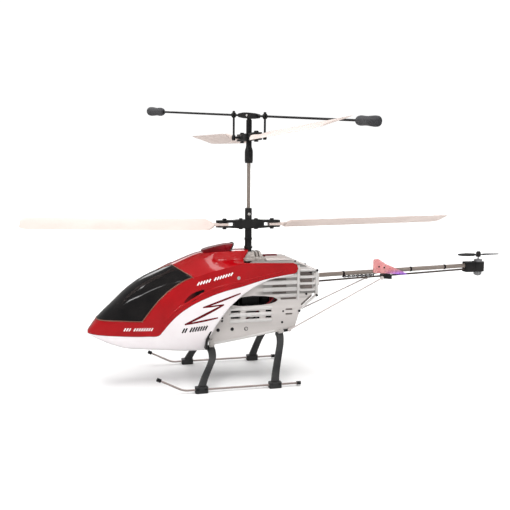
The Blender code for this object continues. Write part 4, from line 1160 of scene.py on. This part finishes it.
UPPER_PRONG = (2.1, 4.9)     # above the blade root's middle, lower rotor
LOWER_PRONG = (2.1, 3.7)


def prong_tip(x, y_half, z):
    """Rounds a fork's end in plan: what lies beyond the circle is cut away."""
    block = box((x - y_half, x + 6), (-9, 9), z)
    return cut(block, rod((x - y_half, 0, z[0] - 1), (x - y_half, 0, z[1] + 1), y_half, 40),
        box((x - y_half - 2, x - y_half + 0.01), (-y_half, y_half), (z[0] - 1, z[1] + 1)))


def lower_yoke_mesh():
    half = [(0, 5.4), (13, 5.4), (16, UPPER_PRONG[1]), (FORK_TIP, UPPER_PRONG[1] - 0.3),
            (FORK_TIP, UPPER_PRONG[0]), (17.5, UPPER_PRONG[0]), (17.5, -LOWER_PRONG[0]),
            (FORK_TIP, -LOWER_PRONG[0]), (FORK_TIP, -LOWER_PRONG[1] + 0.4), (24, -LOWER_PRONG[1]),
            (11, -4.6), (0, -4.6)]
    outline = half + [(-x, z) for x, z in reversed(half[1:-1])]
    yoke = prism_y([(x, z + LOWER_ROTOR_Z) for x, z in outline], (-5, 5))
    collar = rod((0, 0, 172.3), (0, 0, 196.7), OUTER_SHAFT_R, 40, 0.4)
    bosses = [rod((x, 0, 172.4), (x, 0, 184.8), 2.3, 24, 0.3) for x in (-9, 9)]
    holes = [rod((x, 0, 160), (x, 0, 200), 1.4) for x in (-BOLT_RADIUS_FROM_MAST, BOLT_RADIUS_FROM_MAST)]
    bore = rod((0, 0, 160), (0, 0, 210), INNER_BORE_R, 32)
    high = (LOWER_ROTOR_Z - 9, LOWER_ROTOR_Z + 9)
    tips = [prong_tip(FORK_TIP, 5, high), turned(prong_tip(FORK_TIP, 5, high), math.pi)]
    return cut(joined(yoke, collar, *bosses), bore, *holes, *tips)


def build_lower_rotor():
    body = "lower_rotor"
    add("lower_fork", lower_yoke_mesh(), BLACK, "lower_yoke", body, bevel=0.3)
    pins = [rod((x, 0, 184.6), (x, 0, 185.6), 1.3, 20, 0.3) for x in (-9, 9)]
    add("lower_fork_pins", together(*pins), BRIGHT, body=body)
    collar_screw = side_screw(1.6, 0.6, 0, OUTER_SHAFT_R, 190)
    add("lower_collar_screw", collar_screw, BRIGHT, body=body, bevel=0.08)
    seam = [(0, 160.1), (4.3, 160.1), (4.5, 160.4), (4.5, 162.3), (4.3, 162.6), (0, 162.6)]
    ring = cut(lathe(seam, 40), rod((0, 0, 150), (0, 0, 170), INNER_BORE_R + 0.6, 32))
    add("outer_shaft_ring", ring, BLACK, body=body, bevel=0.1)
    for name, turn in (("front", 0.0), ("rear", math.pi)):
        wing = turned(shifted(blade(False), z=LOWER_ROTOR_Z), turn)
        add("lower_wing_" + name, wing, BLADE, "lower_blade_" + name,
            "lower_blade_" + name)


def pitch_arm():
    """Place of a link in the upper yoke's own axes."""
    between = FLYBAR_TURN - UPPER_ROTOR_TURN
    return LINK_RADIUS * math.cos(between), LINK_RADIUS * math.sin(between)


def upper_yoke_mesh():
    """Rocking frame around the post, with a fork and a pitch arm each way along its local X."""
    z = UPPER_ROTOR_Z
    middle = prism_z(rounded(rectangle((-11, 11), (-7.6, 7.6)), 1.6), (z - 3.6, z + 3.6))
    parts = []
    arm_x, arm_y = pitch_arm()
    for side in (1, -1):
        half = [(9, 3.6), (20, 4.0), (FORK_TIP, 4.2), (FORK_TIP, 2.1), (22, 2.1), (22, -2.1),
                (FORK_TIP, -2.1), (FORK_TIP, -3.8), (20, -4.0), (9, -3.6)]
        parts.append(prism_y([(side * x, z + h) for x, h in half], (-4.8, 4.8)))
        parts.append(rod((side * arm_x, side * 3, z), (side * arm_x, side * (arm_y - 2.8), z), 1.5, 24,
            0.3))
    opening = box((-4.4, 4.4), (-4.7, 4.7), (z - 9, z + 9))
    holes = [rod((x, 0, z - 9), (x, 0, z + 9), 1.4) for x in (-BOLT_RADIUS_FROM_MAST,
        BOLT_RADIUS_FROM_MAST)]
    holes.append(rod((-8.6, 0, z), (8.6, 0, z), 1.2 + GAP))
    tips = [turned(prong_tip(FORK_TIP, 4.8, (z - 9, z + 9)), turn) for turn in (0, math.pi)]
    return cut(joined(middle, *parts), opening, *holes, *tips)


def rotor_head_mesh():
    """Collar on the inner shaft, neck and post, with the yoke's pin and the flybar's pin."""
    profile = [(0, 303.4), (1.8, 303.4), (2.2, 303.0), (2.3, 302.6), (2.3, 297.2), (2.6, 296.6),
        (3.2, 296.0), (3.2, 267.2), (3.5, 265.4), (4.2, 263.3), (4.6, 261.5), (4.65, 260), (4.65, 250.6),
        (4.4, 249.2), (4.1, 247.9), (INNER_SHAFT_R + GAP, 247.9), (INNER_SHAFT_R + GAP, 262.3),
        (0, 262.3)]
    yoke_pin = turned(rod((-8, 0, UPPER_ROTOR_Z), (8, 0, UPPER_ROTOR_Z), 1.2), UPPER_ROTOR_TURN)
    flybar_pin = turned(rod((0, -3.7, FLYBAR_Z), (0, 3.7, FLYBAR_Z), 1.0), FLYBAR_TURN)
    return joined(lathe(profile, 40), yoke_pin, flybar_pin)


def flybar_tilted(mesh):
    """From the flybar's own axes, rod along X with the left end low, to the mast's."""
    turn = Matrix.Rotation(FLYBAR_TURN, 4, "Z")
    return moved(mesh, turn @ Matrix.Translation((0, 0, FLYBAR_Z)) @ Matrix.Rotation(FLYBAR_TILT, 4, "Y"))


def flybar_hub_mesh():
    half = [(0, 3.4), (6, 3.2), (13, 1.9), (13, -2.2), (6, -3.2), (0, -3.4)]
    hub = prism_y(half + [(-x, z) for x, z in reversed(half[1:-1])], (-4.3, 4.3))
    opening = box((-3.9, 3.9), (-2.65, 2.65), (-6, 6))
    bores = [rod((s * 5, 0, 0), (s * 20, 0, 0), 1.25 + GAP) for s in (1, -1)]
    pin = rod((0, -3.95, 0), (0, 3.95, 0), 1.0 + GAP)
    return cut(hub, opening, pin, *bores)


def flybar_weight_mesh():
    """Rubbery grip, full at both ends and narrower in the middle, with a shallow ring in its end."""
    side = [(p.x, p.z) for p in curve_through(((2.4, 0, 140.5), (3.9, 0, 141.6), (4.9, 0, 144.2),
        (5.1, 0, 147), (4.75, 0, 152.6), (5.2, 0, 157.5), (5.55, 0, 162), (5.2, 0, 165.6),
        (4.2, 0, 167.3)), 4)]
    end = [(3.4, 167.6), (3.0, 167.1), (1.6, 167.1), (1.2, 167.5), (0, 167.6)]
    weight = turned(lathe([(0, 140.5)] + side + end, 40), math.pi / 2, "Y")
    return cut(weight, rod((130, 0, 0), (152, 0, 0), 1.25 + GAP))


def link_mesh(side):
    """Eye around the flybar rod, thin stem, and a cup beside the yoke's arm."""
    tilt = side * FLYBAR_TILT
    top = Vector((side * LINK_RADIUS * math.cos(tilt), 0, -LINK_RADIUS * math.sin(tilt) + FLYBAR_Z))
    x = top.x
    eye = rod((x - 1.6, 0, top.z), (x + 1.6, 0, top.z), 3.1, 32, 0.3)
    stem = rod((x, 0, UPPER_ROTOR_Z - 1), (x, 0, top.z - 2.4), 1.2, 20)
    cap = rod((x, 0, top.z + 2.4), (x, 0, top.z + 4.6), 1.5, 20, 0.3)
    cup = shifted(lathe([(0, -3.3), (1.5, -3.3), (2.1, -2.6), (2.3, -1.2), (2.3, 1), (1.9, 2.4),
        (1.3, 3.2), (0, 3.2)], 32), x, 0, UPPER_ROTOR_Z)
    hole = rod((x - 6, 0, top.z), (x + 6, 0, top.z), 1.8, 24)
    return turned(cut(joined(eye, stem, cap, cup), hole), FLYBAR_TURN)


def build_upper_rotor():
    add("head_post", rotor_head_mesh(), BLACK, "rotor_head", "upper_rotor", bevel=0.12)
    add("upper_fork", turned(upper_yoke_mesh(), UPPER_ROTOR_TURN), BLACK, "upper_yoke",
        "upper_yoke", bevel=0.3)
    shaft = rod((0, 0, 97), (0, 0, 262), INNER_SHAFT_R, 40, 0.3)
    add("mast_shaft", shaft, STEEL, "inner_shaft", "upper_rotor")
    screw = side_screw(1.3, 0.6, 0, 4.5, 256)
    add("head_screw", screw, BOLT, body="upper_rotor", bevel=0.06)
    for name, turn in (("left", UPPER_ROTOR_TURN), ("right", UPPER_ROTOR_TURN + math.pi)):
        wing = turned(shifted(blade(True), z=UPPER_ROTOR_Z), turn)
        add("upper_wing_" + name, wing, BLADE, "upper_blade_" + name,
            "upper_blade_" + name)
    add("flybar_centre", flybar_tilted(flybar_hub_mesh()), BLACK, "flybar_hub", "flybar",
        bevel=0.35)
    hub_screws = [side_screw(1.3, 0.5, x, 4.3, 0) for x in (-8.2, 8.2)]
    hub_screws.append(side_screw(1.3, 0.5, 0, -4.3, 0, 1))
    add("flybar_screws", flybar_tilted(together(*hub_screws)), BRIGHT, body="flybar",
        bevel=0.06)
    for name, side in (("left", 1), ("right", -1)):
        arm = rod((side * 5.5, 0, 0), (side * 151, 0, 0), 1.25, 24, 0.2)
        add("flybar_arm_" + name, flybar_tilted(arm), BLACK, "flybar_rod_" + name, "flybar")
        grip = flybar_weight_mesh()
        grip = grip if side > 0 else turned(grip, math.pi)
        add("flybar_grip_" + name, flybar_tilted(grip), RUBBER,
            "flybar_weight_" + name, "flybar")
        add("pitch_link_" + name, link_mesh(side), BLACK, "flybar_link_" + name,
            "flybar_link_" + name, bevel=0.15)


# ---- tail ----

BOOM_TUBE_R = 2.6
BOOM_ROD_R = 1.1
CLAMP_X = -173.5


def boom_z(x):
    return 116.0 + (-86 - x) * 0.0326


def boom_rod_z(x):
    return 108.8 + (-86 - x) * 0.046


def twisted_pair(front, rear, drop):
    """Two thin leads wound round each other under the boom tube."""
    pair = []
    for start in (0.0, math.pi):
        path = []
        for i in range(41):
            x = front + (rear - front) * i / 40
            turn = start + (front - x) / 11 * 2 * math.pi
            path.append((x, 0.75 * math.cos(turn), boom_z(x) - BOOM_TUBE_R - drop + 0.75
                * math.sin(turn)))
        pair.append(tube_along(path, 0.6, 8))
    return together(*pair)


def build_tail():
    tube = rod((-74.5, 0, boom_z(-74.5)), (-291, 0, boom_z(-291)), BOOM_TUBE_R, 40)
    add("tail_tube", tube, BOOM, "boom_tube")
    thin = rod((-74.5, 0, boom_rod_z(-74.5)), (-289, 0, boom_rod_z(-289)), BOOM_ROD_R, 24)
    add("tail_rod", thin, BOOM_DARK, "boom_rod")
    add("tail_leads", twisted_pair(-117, -158, 1.3), BLACK_LEAD)
    ties = [rod((x - 1.2, 0, boom_z(x)), (x + 1.2, 0, boom_z(x)), BOOM_TUBE_R + 0.45, 32, 0.3)
            for x in (-118, -206, -252)]
    add("tail_ties", together(*ties), INK)

    fin = [(-155, 117.2), (-155, 133.6), (-161, 134.4), (-171, 128), (-188, 120.6), (-203, 113.4),
           (-188, 114.4), (-172, 116)]
    side = BOOM_TUBE_R + GAP
    sheet = prism_y(rounded(fin, 2.0), (side, side + 1.0))
    add("tail_fin", sheet, PINK, "boom_fin", bevel=0.2)
    rivets = [side_screw(1.1, 0.5, x, side + 1, z) for x, z in ((-169.4, 123.4), (-162.5, 124.6))]
    add("fin_screws", together(*rivets), BOLT)
    clip = [rod((x - 1.6, 0, boom_z(x)), (x + 1.6, 0, boom_z(x)), BOOM_TUBE_R + 0.9, 32, 0.3)
            for x in (-160, -172)]
    tabs = [box((x - 1.6, x + 1.6), (0, 2.85), (boom_z(x) + 1, boom_z(x) + 4.2)) for x in (-160, -172)]
    add("fin_clips", joined(clip[0], tabs[0], clip[1], tabs[1]), CLEAR, bevel=0.2)
    clamp_screw = side_screw(1.5, 0.7, CLAMP_X, 4.5, boom_rod_z(CLAMP_X) - 0.8)
    add("clamp_screw", clamp_screw, BOLT)
    ends = [shifted(turned(rod((0, 0, -0.8), (0, 0, 1.2), 2.2, 24, 0.3), -math.pi / 2, "X"), *spot)
            for spot in ((-44, 25.2, 57.5), (-166, 5.4, 111))]
    right_ends = [shifted(turned(rod((0, 0, -1.2), (0, 0, 0.8), 2.2, 24, 0.3), -math.pi / 2, "X"), *spot)
        for spot in ((-44, -25.2, 57.5), (-149, -3.0, 110.6))]
    add("brace_ends", together(*ends, *right_ends), BRACE)
    add("tail_propeller", tail_rotor_mesh(), BLACK, "tail_rotor", "tail_rotor")
    x = TAIL_ROTOR_X
    vents = lathe([(0, 110.3), (3.4, 110.3), (3.4, 109.7), (1.4, 109.7), (1.4, 109.2), (0, 109.2)], 32)
    add("tail_motor_end", shifted(vents, x), INK, bevel=0.1)


def tail_rotor_mesh():
    """Two twisted blades and a hub that sits over the motor's shaft."""
    stations = curve_through(((-28, 3.4, 14), (-27, 5.6, 14), (-24, 7.6, 15), (-16, 8.4, 18), (-6, 5, 26),
        (-2, 4, 0), (2, 4, 0), (6, 5, -26), (16, 8.4, -18), (24, 7.6, -15), (27, 5.6, -14),
        (28, 3.4, -14)), 4)
    rings = [blade_ring(radius, chord, 1.2, math.radians(pitch), 0.9, 0, 0, count=24) for radius, chord,
        pitch in stations]
    hub = lathe([(0, 133), (2.6, 133), (2.9, 133.6), (2.9, 138.2), (2.5, 139.3), (1.8, 140), (0, 140)],
        32)
    bore = rod((0, 0, 130), (0, 0, 138.9), 0.8 + GAP, 24)
    return shifted(cut(joined(hub, shifted(skin(rings), z=136)), bore), TAIL_ROTOR_X)


# ---- landing gear ----

SKID_Y = 55.5
SKID_Z = 3.4
SKID_WIRE_R = 1.1
FRONT_LEG = ((48.5, 18.5, 40.8), (47.6, 28, 37.6), (48.6, 37, 32), (52.8, 44.5, 26), (59, 50, 15.5),
    (63.4, 54.4, 6.2))
REAR_LEG = ((-33, 18.5, 52.6), (-32.4, 26, 49.8), (-30, 35, 43.5), (-25.4, 43.5, 31), (-21, 50.4, 15),
    (-19.2, 54.4, 6.4))
CLAMP_FRONT_X = 63.8
CLAMP_REAR_X = -18.9
CLAMP_HEIGHT = 6.6
CLAMP_SIDE_Y = SKID_Y + 4.2
SKID_REAR_X = -47.0
SKID_BEND_X = 78.0
SKID_BEND_R = 22.0
SKID_RISE = math.radians(27)
SKID_TIP_RUN = 25.0


def leg(path, clamp_x):
    """Curved flat leg with the clamp that grips the skid wire."""
    bar = sweep(curve_through(path, 6), lambda t: 4.5 - 0.5 * math.sin(math.pi * t), 2.1, (1, 0, 0))
    half_y = CLAMP_SIDE_Y - SKID_Y
    plan = rounded(rectangle((clamp_x - 7, clamp_x + 7), (SKID_Y - half_y, SKID_Y + half_y)), 1.8)
    clamp = prism_z(plan, (0, CLAMP_HEIGHT))
    hole = rod((clamp_x - 12, SKID_Y, SKID_Z), (clamp_x + 12, SKID_Y, SKID_Z), SKID_WIRE_R + GAP, 24)
    return cut(joined(bar, clamp), hole)


def skid_path():
    """Straight along the ground, then a round bend up at the front."""
    points = [(x, SKID_Y, SKID_Z) for x in (SKID_REAR_X, -10, 30, SKID_BEND_X)]
    for i in range(1, 13):
        turn = SKID_RISE * i / 12
        points.append((SKID_BEND_X + SKID_BEND_R * math.sin(turn), SKID_Y,
            SKID_Z + SKID_BEND_R * (1 - math.cos(turn))))
    end = points[-1]
    points.append((end[0] + SKID_TIP_RUN * math.cos(SKID_RISE), SKID_Y,
        end[2] + SKID_TIP_RUN * math.sin(SKID_RISE)))
    return points


def build_landing_gear():
    for side, change in SIDES:
        for place, path, clamp_x in (("front", FRONT_LEG, CLAMP_FRONT_X),
                ("rear", REAR_LEG, CLAMP_REAR_X)):
            name = "leg_" + place + "_" + side
            add("strut_" + place + "_" + side, change(leg(path, clamp_x)), LEG_BLACK,
                name, bevel=0.4)
            screws = [side_screw(1.2, 0.5, clamp_x + off, CLAMP_SIDE_Y, 4.8) for off in (-4.2, 4.2)]
            add("clamp_screws_" + place + "_" + side, change(together(*screws)), BOLT)
        add("skid_wire_" + side, change(tube_along(skid_path(), SKID_WIRE_R, 16)), SKID,
            "skid_" + side)


# ---- finishes of the CAD solids that stay as they are ----

NODES_OF_FINISH = {
    BLACK: "chassis_deck gear_plate switch_housing boom_clamp tail_motor_mount outer_shaft "
           "skid_cap_front_left skid_cap_front_right skid_cap_rear_left skid_cap_rear_right",
    ALUMINIUM: "rear_bulkhead",
    WRAP: "battery_pack",
    BOARD: "receiver_board",
    MOTOR: "motor_front motor_rear",
    SWITCH: "switch_slider",
    SOCKET: "boom_socket",
    BRACE: "brace_left brace_right",
    TAIL_CAN: "tail_motor",
    NYLON: "inner_gear outer_gear",
    BRASS: "pinion_front pinion_rear",
    BOLT: "lower_bolt_front lower_bolt_rear upper_bolt_left upper_bolt_right",
}


def finish_cad_nodes():
    """Give each shown CAD solid its material and softly rounded edges."""
    for finish, names in NODES_OF_FINISH.items():
        for name in names.split():
            node = frame["nodes"][name]
            node.data.materials.clear()
            node.data.materials.append(finish)
            soften(node, 0.15)


# ---- floor, light and camera ----

FILL = 0.4                   # the studio's glow on the object
MIRRORED = 0.32              # and in its reflections


def reflector(name, start, end, wide, glow):
    """A bright strip that only shows as a reflection, from start to end, facing the canopy."""
    start, end = Vector(start), Vector(end)
    light = bpy.data.lights.new(name, "AREA")
    light.shape = "RECTANGLE"
    light.size, light.size_y = (end - start).length, wide
    light.energy = glow * math.pi * light.size * light.size_y
    holder = placed(name, light)
    middle = (start + end) / 2
    toward = (middle - Vector((world_x(100), 0, 0.1))).normalized()
    run = (end - start).normalized()
    side = toward.cross(run).normalized()
    turn = Matrix((run, side, run.cross(side))).transposed().to_4x4()
    holder.matrix_world = Matrix.Translation(middle) @ turn
    holder.visible_camera = False
    holder.visible_diffuse = False


def sun(name, toward, strength, softness):
    """A distant light from the direction toward; softness is its width in degrees."""
    light = bpy.data.lights.new(name, "SUN")
    light.energy = strength
    light.angle = math.radians(softness)
    holder = placed(name, light)
    holder.rotation_euler = Vector(toward).to_track_quat("Z", "Y").to_euler()
    holder.visible_glossy = False


def build_studio():
    half = 40.0
    floor = mesh_from([(-half, -half, 0), (half, -half, 0), (half, half, 0), (-half, half, 0)],
        [(0, 1, 2, 3)])
    data = bpy.data.meshes.new("floor")
    floor.to_mesh(data)
    data.materials.append(FLOOR)
    ground = placed("floor", data)

    ground.visible_glossy = False
    world = bpy.data.worlds.new("studio")
    world.use_nodes = True
    tree = world.node_tree
    seen = tree.nodes.new("ShaderNodeLightPath")
    shown = tree.nodes["Background"].outputs[0]
    tree.nodes["Background"].inputs["Color"].default_value = (1, 1, 1, 1)
    tree.nodes["Background"].inputs["Strength"].default_value = 1.05
    for ray, colour, strength in (("Is Diffuse Ray", (1.0, 0.99, 0.98, 1), FILL),
            ("Is Glossy Ray", (1.0, 0.99, 0.98, 1), MIRRORED)):
        other = tree.nodes.new("ShaderNodeBackground")
        other.inputs["Color"].default_value = colour
        other.inputs["Strength"].default_value = strength
        choice = tree.nodes.new("ShaderNodeMixShader")
        tree.links.new(seen.outputs[ray], choice.inputs[0])
        tree.links.new(shown, choice.inputs[1])
        tree.links.new(other.outputs[0], choice.inputs[2])
        shown = choice.outputs[0]
    tree.links.new(shown, tree.nodes["World Output"].inputs["Surface"])
    SCENE.world = world
    sun("key", (0.3, 0.75, 0.75), 0.9, 30)
    sun("top", (-0.1, 0.05, 1.0), 3.2, 60)
    reflector("glow_behind", (-0.6, -2.5, 1.6), (1.0, -2.5, 1.6), 0.9, 3)
    reflector("glow_above", (-0.4, -0.1, 2.1), (0.1, -0.1, 2.1), 0.85, 4)
    reflector("strip_nose", (1.29, 0.39, 1.04), (1.01, 0.85, 1.03), 0.09, 14)
    reflector("strip_flank", (1.01, 0.85, 1.03), (0.69, 0.86, 1.24), 0.09, 9)
    reflector("strip_high", (1.13, -0.32, 1.24), (0.94, -0.05, 1.39), 0.2, 20)
    SCENE.view_settings.view_transform = "Standard"


def build_camera():
    """The photographed view: nose to the left, seen from the left side and a little above."""
    lens = bpy.data.cameras.new("camera")
    lens.lens = 48.0
    lens.sensor_width = 36.0
    eye = placed("camera", lens)
    right = Vector((-0.97179229, 0.23568352, 0.00854552))
    above = Vector((-0.02305582, -0.13100217, 0.99111395))
    turn = Matrix((right, above, right.cross(above))).transposed()
    eye.matrix_world = Matrix.Translation((0.2159, 0.7617, 0.2470)) @ turn.to_4x4()
    SCENE.camera = eye


def main():
    build_canopy()
    build_frame()
    build_lower_rotor()
    build_upper_rotor()
    build_tail()
    build_landing_gear()
    finish_cad_nodes()
    build_studio()
    build_camera()


main()
